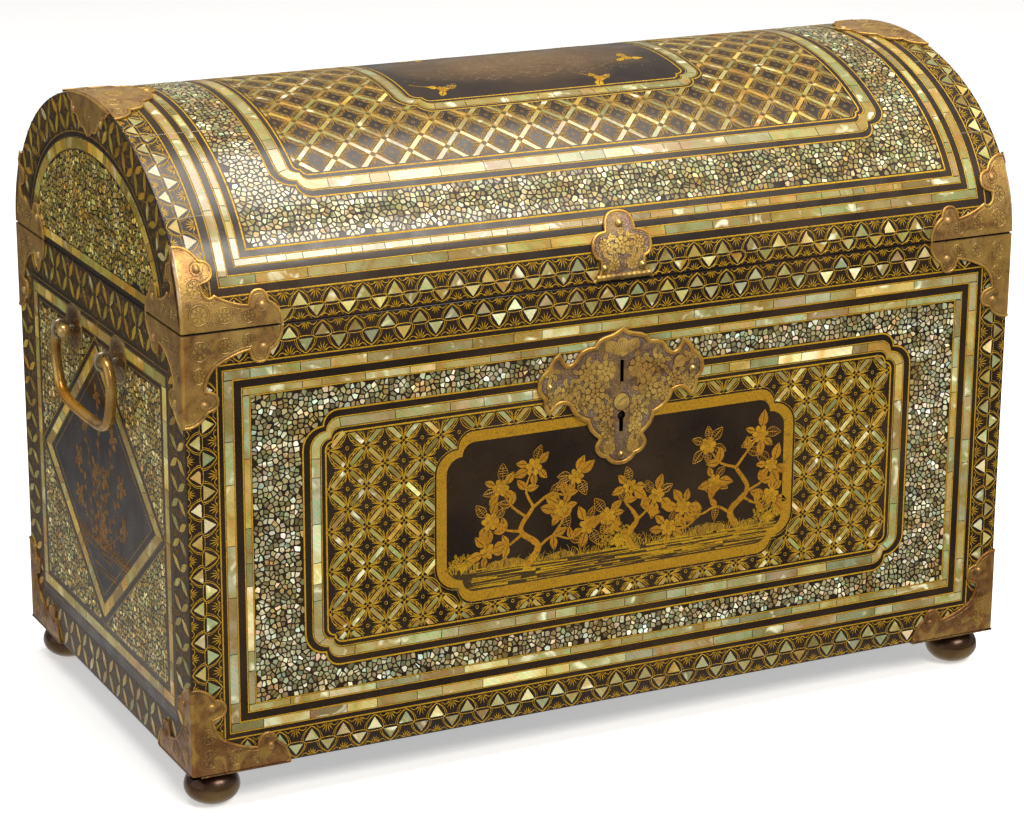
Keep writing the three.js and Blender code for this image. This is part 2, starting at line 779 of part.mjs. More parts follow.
function makeEyes() {
  const ring = new THREE.TorusGeometry(eyeHoleRadius + eyeWireRadius, eyeWireRadius, 5, 14);
  ring.rotateX(Math.PI / 2);
  const ringX = -halfWidth - eyeStandoff;
  const shankStart = ringX + eyeHoleRadius + eyeWireRadius;
  const inside = -innerHalfWidth + clinchThickness;
  for (const [place, y] of [['front', -eyeSpacing / 2], ['back', eyeSpacing / 2]]) {
    const ringHere = ring.clone();
    ringHere.translate(ringX, y, eyeHeight);
    const eye = joined(
      solidOf(ringHere),
      rod([shankStart, y, eyeHeight], [inside, y, eyeHeight], shankRadius, rodSides),
      block(
        [-innerHalfWidth, y - clinchWidth / 2, eyeHeight - clinchLength / 2],
        [inside, y + clinchWidth / 2, eyeHeight + clinchLength / 2],
      ),
    );
    for (const [side, flip] of sides) addPiece(`handle_${side}_eye_${place}`, eye, bronze, flip);
  }
}

function makeRosettes() {
  const hole = shankRadius + fitGap;
  const profile = [
    [hole, 0],
    [rosetteRadius, 0],
    [rosetteRadius, rosetteRim],
    [rosetteRadius * 0.7, rosetteHeight * 0.75],
    [hole, rosetteHeight],
    [hole, 0],
  ];
  for (const [place, y] of [['front', -eyeSpacing / 2], ['back', eyeSpacing / 2]]) {
    const seat = new THREE.Vector3(-halfWidth, y, eyeHeight);
    const rosette = turned(profile, seat, new THREE.Vector3(-1, 0, 0), rosetteSides);
    for (const [side, flip] of sides) addPiece(`handle_${side}_rosette_${place}`, rosette, bronze, flip);
  }
}

// Half of the bail's centre line, from its knob at one eye down to its middle.
function bailHalf() {
  const half = eyeSpacing / 2;
  return [
    [half - bailKnobInset, 0],
    [half, 0],
    [half + bailBulge * 0.55, -bailDrop * 0.04],
    [half + bailBulge, -bailDrop * 0.26],
    [half + bailBulge * 0.86, -bailDrop * 0.58],
    [half + bailBulge * 0.3, -bailDrop * 0.85],
    [half - bailBulge * 0.7, -bailDrop * 0.97],
    [half * 0.35, -bailDrop],
  ];
}

function makeBails() {
  const x = -halfWidth - eyeStandoff;
  const half = bailHalf();
  const line = half.concat(half.map(([y, z]) => [-y, z]).reverse());
  const route = new THREE.CatmullRomCurve3(line.map(([y, z]) => new THREE.Vector3(x, y, eyeHeight + z)));
  const section = new THREE.Shape();
  section.absarc(0, 0, bailRodRadius, 0, 2 * Math.PI);
  const tube = new THREE.ExtrudeGeometry(section, { steps: bailSteps, curveSegments: 4, extrudePath: route });
  let bail = solidOf(tube);
  for (const side of [-1, 1]) {
    const knob = new THREE.SphereGeometry(bailKnobRadius, 10, 6);
    knob.translate(x, side * (eyeSpacing / 2 - bailKnobInset), eyeHeight);
    bail = bail.add(solidOf(knob));
  }
  for (const [side, flip] of sides) addPiece(`handle_${side}_bail`, bail, bronze, flip);
}

// Hinges

// The leaf's outline, from its straight edge at the axis to its lobed tip, as (across, reach).
function leafOutline() {
  const path = new THREE.Path();
  const across = hingeLeafHalfWidth;
  const reach = hingeLeafLength;
  path.moveTo(across, 0);
  path.lineTo(across, reach * 0.38);
  path.quadraticCurveTo(across + 5, reach * 0.62, across - 6, reach * 0.68);
  path.quadraticCurveTo(across - 8, reach * 0.92, 0, reach);
  const half = path.getPoints(outlineSteps).map((point) => [point.x, point.y]);
  return half.concat(half.slice(0, -1).map(([u, v]) => [-u, v]).reverse());
}

const knuckleLength = (2 * hingeLeafHalfWidth - 2 * fitGap) / 3;

// The stretches of the axis that each leaf's knuckles take, as (start, end) from the hinge's middle.
const bodyKnuckles = [
  [-hingeLeafHalfWidth, -hingeLeafHalfWidth + knuckleLength],
  [hingeLeafHalfWidth - knuckleLength, hingeLeafHalfWidth],
];
const lidKnuckles = [[-knuckleLength / 2, knuckleLength / 2]];
const wholeAxis = [-hingeLeafHalfWidth, hingeLeafHalfWidth];

function axisRod(middle, [from, to], radius, grow) {
  const start = [middle + from - grow, hingeAxisY, hingeAxisZ];
  const end = [middle + to + grow, hingeAxisY, hingeAxisZ];
  return rod(start, end, radius, knuckleSides);
}

// Where a leaf's three nails go, as (across, reach) points.
function leafStuds() {
  return [
    [-hingeStudSpread, hingeStudReach],
    [hingeStudSpread, hingeStudReach],
    [0, hingeLeafLength - hingeTipStudInset],
  ];
}

// The spur on the lid's knuckle that meets the body leaf when the lid is fully open.
function stopSpur(middle) {
  const leafFace = hingeStandoff - hingeLeafThickness - fitGap;
  const reach = knuckleRadius + spurLength;
  const root = hingePinRadius + 1;
  const cornerAngle = Math.atan2(spurHalfThickness, reach);
  const lean = Math.asin(leafFace / Math.hypot(reach, spurHalfThickness)) - cornerAngle;
  const openAngle = -Math.PI / 2 - lean;
  const spur = new THREE.BoxGeometry(2 * spurHalfWidth, reach - root, 2 * spurHalfThickness);
  spur.translate(0, (reach + root) / 2, 0);
  spur.rotateX(openAngle + lidOpenAngle);
  spur.translate(middle, hingeAxisY, hingeAxisZ);
  return solidOf(spur);
}

function bodyLeaf(middle) {
  const outline = leafOutline().map(([u, v]) => [middle + u, seam - v]);
  let leaf = prism(outline, 'y', halfDepth, hingeLeafThickness);
  for (const knuckle of bodyKnuckles) leaf = leaf.add(axisRod(middle, knuckle, knuckleRadius, 0));
  const swing = knuckleRadius + knuckleSwingGap;
  for (const knuckle of lidKnuckles) leaf = leaf.subtract(axisRod(middle, knuckle, swing, fitGap));
  const backward = new THREE.Vector3(0, 1, 0);
  for (const [u, v] of leafStuds()) {
    leaf = leaf.add(stud(new THREE.Vector3(middle + u, halfDepth + hingeLeafThickness, seam - v), backward));
  }
  return leaf.subtract(axisRod(middle, wholeAxis, hingePinRadius + fitGap, overcut));
}

function lidLeaf(middle) {
  const outline = leafOutline().map(([u, v]) => [middle + u, lidBottom + v]);
  const skin = archSkin(-halfWidth, chestWidth, hingeLeafThickness);
  let leaf = prism(outline, 'y', halfDepth - hingeLeafLength, 2 * hingeLeafLength).intersect(skin);
  for (const knuckle of lidKnuckles) leaf = leaf.add(axisRod(middle, knuckle, knuckleRadius, 0));
  const swing = knuckleRadius + knuckleSwingGap;
  for (const knuckle of bodyKnuckles) leaf = leaf.subtract(axisRod(middle, knuckle, swing, fitGap));
  leaf = leaf.add(stopSpur(middle));
  for (const [u, v] of leafStuds()) {
    const { point, normal } = skinPoint(middle + u, v, hingeLeafThickness, 'back');
    leaf = leaf.add(stud(point, normal));
  }
  return leaf.subtract(axisRod(middle, wholeAxis, hingePinRadius + fitGap, overcut));
}

function hingePin(middle) {
  const end = hingeLeafHalfWidth + fitGap;
  return joined(
    axisRod(middle, [-end, end], hingePinRadius, 0),
    axisRod(middle, [-end - hingePinHead, -end], hingePinHeadRadius, 0),
    axisRod(middle, [end, end + hingePinHead], hingePinHeadRadius, 0),
  );
}

function makeHinges() {
  const middle = -hingeSpacing / 2;
  for (const [side, flip] of sides) {
    addPiece(`hinge_${side}_body_leaf`, bodyLeaf(middle), giltCopper, flip);
    addPiece(`hinge_${side}_lid_leaf`, lidLeaf(middle), giltCopper, flip);
    addPiece(`hinge_${side}_pin`, hingePin(middle), giltCopper, flip);
  }
}

makeBase();
makeFrontBoard();
makeBackBoard();
makeSideBoards();
makeFeet();
makeBodyMounts();
makeLockPlate();
makeLockCase();
makeLockBolt();
makeKeyPost();
makeEyes();
makeRosettes();
makeBails();
makeHinges();
makeStaves();
makeLidEnds();
makeLidMounts();
makeRidgeMounts();
makeHaspPlate();

// The lock's nails stand out in front and the hinges' knuckles behind, so the chest moves to centre them.
const outside = new THREE.Box3().setFromObject(chest);
chest.position.y = -(outside.min.y + outside.max.y) / 2;

export default chest;
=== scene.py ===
"""A dome-lidded lacquer chest with shell inlay, gold lines, mounts and handles, laid on its frame."""
import json
import math
import random

import bmesh
import bpy
import numpy as np
from mathutils import Matrix, Vector
from mathutils.geometry import tessellate_polygon

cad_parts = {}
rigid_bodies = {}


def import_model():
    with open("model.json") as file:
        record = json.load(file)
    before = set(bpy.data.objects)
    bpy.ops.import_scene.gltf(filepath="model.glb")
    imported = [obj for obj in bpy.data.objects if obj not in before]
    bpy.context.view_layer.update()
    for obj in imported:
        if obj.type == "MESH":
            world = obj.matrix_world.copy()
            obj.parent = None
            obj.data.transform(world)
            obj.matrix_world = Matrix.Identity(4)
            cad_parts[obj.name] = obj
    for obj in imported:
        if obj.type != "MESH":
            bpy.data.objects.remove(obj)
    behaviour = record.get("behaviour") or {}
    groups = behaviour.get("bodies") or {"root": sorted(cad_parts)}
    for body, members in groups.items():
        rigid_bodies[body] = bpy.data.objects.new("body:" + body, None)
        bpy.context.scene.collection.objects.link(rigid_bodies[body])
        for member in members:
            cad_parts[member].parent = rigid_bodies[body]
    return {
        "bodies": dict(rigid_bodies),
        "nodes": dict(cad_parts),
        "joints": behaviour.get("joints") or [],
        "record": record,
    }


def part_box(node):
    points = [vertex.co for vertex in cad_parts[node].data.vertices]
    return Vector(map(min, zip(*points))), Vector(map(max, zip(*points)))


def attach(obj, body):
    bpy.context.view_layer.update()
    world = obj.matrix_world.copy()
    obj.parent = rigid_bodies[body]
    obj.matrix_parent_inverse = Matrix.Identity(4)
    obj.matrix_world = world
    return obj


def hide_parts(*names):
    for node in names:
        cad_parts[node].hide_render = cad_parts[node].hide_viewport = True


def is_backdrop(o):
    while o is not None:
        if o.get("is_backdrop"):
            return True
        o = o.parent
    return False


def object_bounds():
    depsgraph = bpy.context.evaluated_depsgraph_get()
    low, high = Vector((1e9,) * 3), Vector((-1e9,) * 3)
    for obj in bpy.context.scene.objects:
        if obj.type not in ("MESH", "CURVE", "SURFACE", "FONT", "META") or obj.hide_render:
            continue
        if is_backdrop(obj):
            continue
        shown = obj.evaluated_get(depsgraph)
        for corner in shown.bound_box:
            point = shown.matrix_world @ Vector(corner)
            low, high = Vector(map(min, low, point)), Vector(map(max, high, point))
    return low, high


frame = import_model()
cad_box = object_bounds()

# Everything below is laid out in millimetres and turned into metres when a mesh is made.
MM = 0.001

# Sizes of the bare chest, from the frame
front_low, front_high = (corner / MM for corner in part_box("front_board"))
back_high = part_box("back_board")[1] / MM
HALF_WIDTH = front_high.x
FRONT = front_low.y
BACK = back_high.y
MIDDLE = (FRONT + BACK) / 2
HALF_DEPTH = (BACK - FRONT) / 2
BOTTOM = front_low.z
SEAM = front_high.z
WALL = front_high.y - front_low.y
LID_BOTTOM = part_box("lid_stave_6")[0].z / MM
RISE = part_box("lid_stave_4")[1].z / MM - LID_BOTTOM
WIDTH = 2 * HALF_WIDTH
DEPTH = BACK - FRONT
HEIGHT = SEAM - BOTTOM
STAVES = 6
STAVE_THICKNESS = 12
EYE_HEIGHT = sum(corner.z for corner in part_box("handle_left_rosette_front")) / 2 / MM
EYE_SPREAD = 47
MOUNT_THICKNESS = 1.2
PLATE_THICKNESS = 1.8
SKIN_GAP = 0.3

# Colours, as the eye sees them
BLACK = "1e160f"
LINING = "3a1710"
GOLD = "b38b14"
GOLD_DIM = "8e6c1c"
GOLD_BAND = "a67c12"
GOLD_FADED = "8c642c"
GOLD_LEAF = "a47410"
GOLD_FLOWER = "ae8014"
DUST = "45361c"
HAZE = "6a5536"
NACRE = ("9c9560", "8b9068", "a08c50", "8d9470", "aea468", "b2954c", "857f50", "9d8a68", "93977c", "8a7f58")
# Pale shades that a few strip pieces are blended towards: partly paler shell, partly painted glints.
NACRE_BRIGHT = ("dfe2b8", "d8d59a", "e2d2a6")
CHIPS = ("938c68", "7a7350", "a09974", "888766", "9a9676", "a4946a", "6c6648", "b0a684", "8a9478", "9e8c6c")
# Pale shades that a few chips are blended towards: partly paler shell, partly painted glints.
CHIPS_BRIGHT = ("f0eddc", "d9e6d8", "e8ccb8", "bfd8c8", "f6f3e6")
COPPER = "be9a58"
COPPER_EDGE = "c9a04e"
COPPER_PAINTED_HIGHLIGHT = "fff0d4"
COPPER_GOLD = "c4a658"
ENGRAVED = "57432f"
LOCK_GROUND = "b69e84"
LOCK_RIM = "d0a444"
LOCK_GOLD = "dfbe66"
STUD = "c4a468"
NAIL = "c2a45e"
BRONZE = "866a40"
BAIL_METAL = "c8a65e"
BRONZE_WORN = "dc9c22"
FOOT_PAINTED_SHADE = "4a3428"
FOOT_PAINTED_LIGHT = "8a7038"
CRACK = "9c907a"
KNOB = "cdb070"
EYE_METAL = "a39a86"
RIM_PAINTED_HIGHLIGHT = "b29a60"
HASP_ROLL = "94783e"
LOCK_CUT = "6e5638"
IRON = "2d2722"


def linear(shade):
    """A hex colour in linear light."""
    parts = [int(shade[i : i + 2], 16) / 255 for i in (0, 2, 4)]
    return tuple(p / 12.92 if p <= 0.04045 else ((p + 0.055) / 1.055) ** 2.4 for p in parts)


def burnished(shade, punched=0.0):
    """A metal's colour, with how deeply its ground is punched as the fourth number."""
    return (*linear(shade), punched)


def blended(first, second, share):
    return tuple(a + (b - a) * share for a, b in zip(first, second))


# The arch of the lid, measured along its outer face from the front rim
ARCH_ANGLES = np.linspace(0, math.pi, 2001)
arch_middles = (ARCH_ANGLES[1:] + ARCH_ANGLES[:-1]) / 2
arch_steps = np.hypot(HALF_DEPTH * np.sin(arch_middles), RISE * np.cos(arch_middles)) * ARCH_ANGLES[1]
ARCH_LENGTHS = np.concatenate(([0], np.cumsum(arch_steps)))
ARCH = ARCH_LENGTHS[-1]


def arch_points(angles, outward):
    """The y and z of points on the arch, moved outward. Angle 0 is the front rim."""
    normal_y = -np.cos(angles) / HALF_DEPTH
    normal_z = np.sin(angles) / RISE
    size = np.hypot(normal_y, normal_z)
    y = MIDDLE - HALF_DEPTH * np.cos(angles) + outward * normal_y / size
    z = LID_BOTTOM + RISE * np.sin(angles) + outward * normal_z / size
    return y, z


# Places on the chest: points are across, up and out from a face, in millimetres


def on_face(origin, across, out, up=1):
    """A place on an upright face, from where it starts and its ways across, out, and up or down."""
    ways = np.array((across, (0, 0, up), out), float)

    def place(p):
        return np.array(origin) + p @ ways

    return place


on_front = on_face((-HALF_WIDTH, FRONT, BOTTOM), (1, 0, 0), (0, -1, 0))
on_back = on_face((HALF_WIDTH, BACK, BOTTOM), (-1, 0, 0), (0, 1, 0))
on_left = on_face((-HALF_WIDTH, BACK, BOTTOM), (0, -1, 0), (-1, 0, 0))
on_right = on_face((HALF_WIDTH, FRONT, BOTTOM), (0, 1, 0), (1, 0, 0))
on_left_end = on_face((-HALF_WIDTH, BACK, LID_BOTTOM), (0, -1, 0), (-1, 0, 0))
on_right_end = on_face((HALF_WIDTH, FRONT, LID_BOTTOM), (0, 1, 0), (1, 0, 0))


def on_dome(p):
    y, z = arch_points(np.interp(p[:, 1], ARCH_LENGTHS, ARCH_ANGLES), p[:, 2])
    return np.column_stack((p[:, 0] - HALF_WIDTH, y, z))


def on_arch(start, lift=0.0, at_back=False):
    """A place on the dome, from how far across it starts. Up is the height above the dome's rim."""

    def place(p):
        angles = np.arcsin(np.clip((p[:, 1] + lift) / RISE, 0, 1))
        y, z = arch_points(math.pi - angles if at_back else angles, p[:, 2] + SKIN_GAP)
        return np.column_stack((p[:, 0] + start, y, z))

    return place


def as_it_is(p):
    return p


class Panel:
    def __init__(self, name, place, width, height, body, curved=False, lean=(1.0, 1.0, 1.0, 1.0)):
        self.name = name
        self.place = place
        self.width = width
        self.height = height
        self.box = (0, 0, width, height)
        self.body = body
        self.curved = curved
        self.lean = lean


# A painted cast of light: how far the shell's colour leans on the faces that are seen aslant
END_LEAN = (1.0, 0.85, 0.3, 0.1)
SIDE_LEAN = (1.06, 0.93, 0.5, 0.1)
DOME_LEAN = (0.95, 0.88, 0.66, 1.0)

FRONT_PANEL = Panel("front", on_front, WIDTH, HEIGHT, "chest")
BACK_PANEL = Panel("back", on_back, WIDTH, HEIGHT, "chest")
LEFT_PANEL = Panel("left", on_left, DEPTH, HEIGHT, "chest", lean=SIDE_LEAN)
RIGHT_PANEL = Panel("right", on_right, DEPTH, HEIGHT, "chest", lean=SIDE_LEAN)
LEFT_END = Panel("lid_left", on_left_end, DEPTH, RISE, "lid", lean=END_LEAN)
RIGHT_END = Panel("lid_right", on_right_end, DEPTH, RISE, "lid", lean=END_LEAN)
DOME = Panel("dome", on_dome, WIDTH, ARCH, "lid", curved=True, lean=DOME_LEAN)

# How high the thin layers stand over the lacquer, and how far they go down into it
SUNK = -0.1
SHELL_HEIGHT = 0.2
GOLD_HEIGHT = 0.1
CHAMFER = 0.14
LIFT_STEP = 0.004
LIFT_RANGE = 0.06
CURVE_STEP = 4.0
BEAD_STEP = 2.0
SHARPEST_BEND = 0.3
UV_MARGIN = 0.01
TINY = 1e-6


# Paths and outlines


def arc(centre, radii, start, end, steps):
    """Points of an ellipse's arc, with its angles in degrees."""
    points = []
    for i in range(steps + 1):
        angle = math.radians(start + (end - start) * i / steps)
        points.append((centre[0] + radii[0] * math.cos(angle), centre[1] + radii[1] * math.sin(angle)))
    return points


def circle(centre, radius, count):
    """The corners of a round outline."""
    return arc(centre, (radius, radius), 0, 360 - 360 / count, count - 1)


def midway(first, second):
    return ((first[0] + second[0]) / 2, (first[1] + second[1]) / 2)


def away(place, reach, degrees):
    """A point some way off, in a direction given in degrees."""
    angle = math.radians(degrees)
    return (place[0] + reach * math.cos(angle), place[1] + reach * math.sin(angle))


def heading(start, end):
    """The direction from one point to another, in degrees."""
    return math.degrees(math.atan2(end[1] - start[1], end[0] - start[0]))


def quadratic(start, handle, end, steps):
    points = []
    for i in range(1, steps + 1):
        t = i / steps
        a, b, c = (1 - t) ** 2, 2 * t * (1 - t), t * t
        points.append((a * start[0] + b * handle[0] + c * end[0], a * start[1] + b * handle[1] + c * end[1]))
    return points


def curved_outline(start, bends, steps):
    """An outline through quadratic bends, each given as its handle and its end."""
    points = [start]
    for handle, end in bends:
        points += quadratic(points[-1], handle, end, steps)
    return points


def inset_box(box, distance):
    left, low, right, high = box
    return (left + distance, low + distance, right - distance, high - distance)


def corners_of(box):
    left, low, right, high = box
    return [(left, low), (right, low), (right, high), (left, high)]


def indented(box, step_across, step_up):
    """A rectangle whose corners are two quarter rounds that meet in a notch, as a closed line."""
    left, low, right, high = box
    corners = (
        ((right, low), (-1, 1), -90),
        ((right, high), (-1, -1), 0),
        ((left, high), (1, -1), 90),
        ((left, low), (1, 1), 180),
    )
    points = []
    for (u, v), (inward_u, inward_v), turn in corners:
        beside = (u + inward_u * (step_across + step_up), v + inward_v * step_up)
        above = (u + inward_u * step_across, v + inward_v * (step_across + step_up))
        rounds = [(beside, step_up), (above, step_across)]
        if turn % 180 == 0:
            rounds.reverse()
        for centre, radius in rounds:
            points += arc(centre, (radius, radius), turn, turn + 90, 6)
    return points


def moved_in(polygon, distance):
    """A polygon with straight sides moved inward, its points running anticlockwise."""
    count = len(polygon)
    moved = []
    for i in range(count):
        before, here, after = (np.array(polygon[(i + k) % count]) for k in (-1, 0, 1))
        first = (here - before) / np.linalg.norm(here - before)
        second = (after - here) / np.linalg.norm(after - here)
        inward = np.array((-first[1] - second[1], first[0] + second[0]))
        inward /= np.linalg.norm(inward)
        across = inward[0] * -first[1] + inward[1] * first[0]
        moved.append(tuple(here + inward * distance / across))
    return moved


def subdivided(path, step, closed=False):
    points = []
    ends = path[1:] + path[:1] if closed else path[1:]
    for (u0, v0), (u1, v1) in zip(path, ends):
        count = max(1, math.ceil(math.hypot(u1 - u0, v1 - v0) / step))
        points += [(u0 + (u1 - u0) * i / count, v0 + (v1 - v0) * i / count) for i in range(count)]
    return points if closed else points + [path[-1]]


def leftward(path, i):
    """The unit vector that points to the left of a line, at one of its points."""
    before, after = path[max(i - 1, 0)], path[min(i + 1, len(path) - 1)]
    length = max(math.dist(before, after), TINY)
    return (before[1] - after[1]) / length, (after[0] - before[0]) / length


def turned_about(points, centre, degrees):
    """Points drawn about the origin, turned and moved to a centre."""
    angle = math.radians(degrees)
    cos, sin = math.cos(angle), math.sin(angle)
    return [(centre[0] + u * cos - v * sin, centre[1] + u * sin + v * cos) for u, v in points]


def area(polygon):
    total = 0
    for (u0, v0), (u1, v1) in zip(polygon, polygon[1:] + polygon[:1]):
        total += u0 * v1 - u1 * v0
    return total / 2


def clipped(polygon, normal, limit):
    """The part of a polygon on the near side of a line."""
    nu, nv = normal
    kept = []
    u0, v0 = polygon[-1]
    d0 = nu * u0 + nv * v0 - limit
    for u1, v1 in polygon:
        d1 = nu * u1 + nv * v1 - limit
        if (d0 <= 0) != (d1 <= 0):
            share = d0 / (d0 - d1)
            kept.append((u0 + (u1 - u0) * share, v0 + (v1 - v0) * share))
        if d1 <= 0:
            kept.append((u1, v1))
        u0, v0, d0 = u1, v1, d1
        if not kept and (u1, v1) == polygon[-1]:
            return []
    return kept


# How far a point lies inside a shape, which is less than nothing outside it


def inside_rectangle(u, v, box):
    return min(u - box[0], v - box[1], box[2] - u, box[3] - v)


def inside_rounded(u, v, box, radius):
    across = abs(u - (box[0] + box[2]) / 2) - (box[2] - box[0]) / 2 + radius
    up = abs(v - (box[1] + box[3]) / 2) - (box[3] - box[1]) / 2 + radius
    return radius - math.hypot(max(across, 0), max(up, 0)) - min(max(across, up), 0)


def inside_indented(u, v, box, step_across, step_up):
    left, low, right, high = box
    tall = inside_rounded(u, v, (left + step_across, low, right - step_across, high), step_up)
    wide = inside_rounded(u, v, (left, low + step_up, right, high - step_up), step_across)
    return max(tall, wide)


def inside_polygon(u, v, polygon):
    distances = []
    for (u0, v0), (u1, v1) in zip(polygon, polygon[1:] + polygon[:1]):
        length = math.hypot(u1 - u0, v1 - v0)
        distances.append(((u1 - u0) * (v - v0) - (v1 - v0) * (u - u0)) / length)
    return min(distances)


def inside_ellipse(u, v, centre, radii):
    across = (u - centre[0]) / radii[0]
    up = (v - centre[1]) / radii[1]
    size = math.hypot(across, up)
    slope = math.hypot(across / radii[0], up / radii[1])
    return (1 - size) * size / slope if slope > 0 else min(radii)


def ring_faces(rows, around):
    """The faces between rings of points that lie one after the other."""
    faces = []
    for i in range(rows):
        for k in range(around):
            a, b = i * around + k, i * around + (k + 1) % around
            faces.append((a, b, b + around, a + around))
    return faces


def bar_faces(rows, around):
    """The same, closed at both ends."""
    first, last = range(around - 1, -1, -1), range(rows * around, (rows + 1) * around)
    return [*ring_faces(rows, around), tuple(first), tuple(last)]


def meshed(name, points, faces, *materials):
    """A mesh from points in millimetres."""
    mesh = bpy.data.meshes.new(name)
    mesh.from_pydata((np.array(points) * MM).tolist(), [], faces)
    for material in materials:
        mesh.materials.append(material)
    return mesh


def linked(name, data):
    """A new object in the scene."""
    made = bpy.data.objects.new(name, data)
    bpy.context.scene.collection.objects.link(made)
    return made


class Layer:
    """Thin pieces laid on the chest. Points are across, up and out from the face that is in use."""

    def __init__(self, panel, seed):
        self.panel = panel
        self.places = [panel.place]
        self.points = []
        self.point_places = []
        self.faces = []
        self.tints = []
        self.lift = 0.0
        self.chance = random.Random(seed)

    def raised(self):
        """A height of its own for each piece, so that pieces that cross don't share a plane."""
        self.lift = (self.lift + LIFT_STEP) % LIFT_RANGE
        return self.lift

    def use(self, place):
        self.places.append(place)

    def add(self, points, faces, tint):
        start = len(self.points)
        self.points.extend(points)
        self.point_places.extend([len(self.places) - 1] * len(points))
        self.faces.extend([tuple(start + i for i in face) for face in faces])
        self.tints.extend([tint] * len(faces))

    def shade_rings(self, start, around, tints):
        """Gives rings of faces a tint each, from one face on."""
        for i, tint in enumerate(tints):
            self.tints[start + i * around : start + (i + 1) * around] = [tint] * around

    def tile(self, polygon, top, tint, base=0.0, slope=(0.0, 0.0), chamfer=CHAMFER):
        """A flat chip with sloping sides. Its top may be tilted."""
        if area(polygon) < 0:
            polygon = polygon[::-1]
        count = len(polygon)
        centre_u = sum(p[0] for p in polygon) / count
        centre_v = sum(p[1] for p in polygon) / count
        low = [(u, v, base + SUNK) for u, v in polygon]
        high = []
        for u, v in polygon:
            du, dv = u - centre_u, v - centre_v
            share = max(0.5, 1 - chamfer / max(math.hypot(du, dv), chamfer))
            height = base + top + slope[0] * du + slope[1] * dv
            high.append((centre_u + du * share, centre_v + dv * share, height))
        faces = [tuple(range(count, 2 * count))] + ring_faces(1, count)
        self.add(low + high, faces, tint)

    def chain(self, left, right, top, tint, base=0.0, chamfer=CHAMFER):
        """A strip between two lines that run side by side."""
        if area(left + right[::-1]) > 0:
            left, right = right, left
        points = []
        for (lu, lv), (ru, rv) in zip(left, right):
            share = min(chamfer / max(math.hypot(ru - lu, rv - lv), TINY), 0.45)
            inner_left = (lu + (ru - lu) * share, lv + (rv - lv) * share)
            inner_right = (ru + (lu - ru) * share, rv + (lv - rv) * share)
            points += [(lu, lv, base + SUNK), (*inner_left, base + top)]
            points += [(*inner_right, base + top), (ru, rv, base + SUNK)]
        rows = len(left) - 1
        faces = [face for i, face in enumerate(ring_faces(rows, 4)) if i % 4 < 3]
        last = 4 * rows
        faces += [(0, 3, 2, 1), (last, last + 1, last + 2, last + 3)]
        self.add(points, faces, tint)

    def sweep(self, path, profile, tint, closed=False, caps=False):
        """A section, as offsets and heights, carried along a line."""
        if self.panel.curved:
            path = subdivided(path, CURVE_STEP, closed)
        path = [point for i, point in enumerate(path) if i == 0 or math.dist(point, path[i - 1]) > 1e-3]
        count = len(path)
        rings = []
        for i in range(count):
            here = path[i]
            before = path[i - 1] if i > 0 or closed else None
            after = path[(i + 1) % count] if i < count - 1 or closed else None
            normals = []
            for start, end in ((before, here), (here, after)):
                if start is None or end is None:
                    continue
                length = math.hypot(end[0] - start[0], end[1] - start[1])
                if length > TINY:
                    normals.append(((start[1] - end[1]) / length, (end[0] - start[0]) / length))
            nu = sum(n[0] for n in normals) / len(normals)
            nv = sum(n[1] for n in normals) / len(normals)
            size = max(nu * nu + nv * nv, SHARPEST_BEND)
            for offset, height in profile:
                rings.append((here[0] + nu / size * offset, here[1] + nv / size * offset, height))
        wide = len(profile)
        faces = []
        for i in range(count if closed else count - 1):
            a, b = i * wide, (i + 1) % count * wide
            faces += [(a + k + 1, a + k, b + k, b + k + 1) for k in range(wide - 1)]
        if caps:
            last = (count - 1) * wide
            faces += [tuple(range(wide)), tuple(range(last + wide - 1, last - 1, -1))]
        self.add(rings, faces, tint)

    def line(self, path, width, tint, height=GOLD_HEIGHT, base=0.0, closed=False):
        """A gold line, a little higher in its middle."""
        profile = [(-width / 2, base + SUNK / 2), (0, base + height), (width / 2, base + SUNK / 2)]
        self.sweep(path, profile, tint, closed)

    def bead(self, path, width, height, tint, base):
        """A half-round raised edge."""
        profile = []
        for i in range(7):
            angle = math.pi * i / 6
            profile.append((-width / 2 * math.cos(angle), base + height * math.sin(angle)))
        self.sweep(subdivided(path, BEAD_STEP), profile, tint, caps=True)

    def button(self, centre, height, base):
        """A domed nail head."""
        rings, sides = 5, 20
        points = []
        for k in range(rings):
            lift = math.pi / 2 * k / rings
            reach = STUD_RADIUS * math.cos(lift)
            for i in range(sides):
                angle = 2 * math.pi * i / sides
                u = centre[0] + reach * math.cos(angle)
                v = centre[1] + reach * math.sin(angle)
                points.append((u, v, base + height * math.sin(lift)))
        points.append((centre[0], centre[1], base + height))
        faces = ring_faces(rings - 1, sides)
        top = (rings - 1) * sides
        faces += [(top + i, top + (i + 1) % sides, rings * sides) for i in range(sides)]
        self.add(points, faces, burnished(STUD))

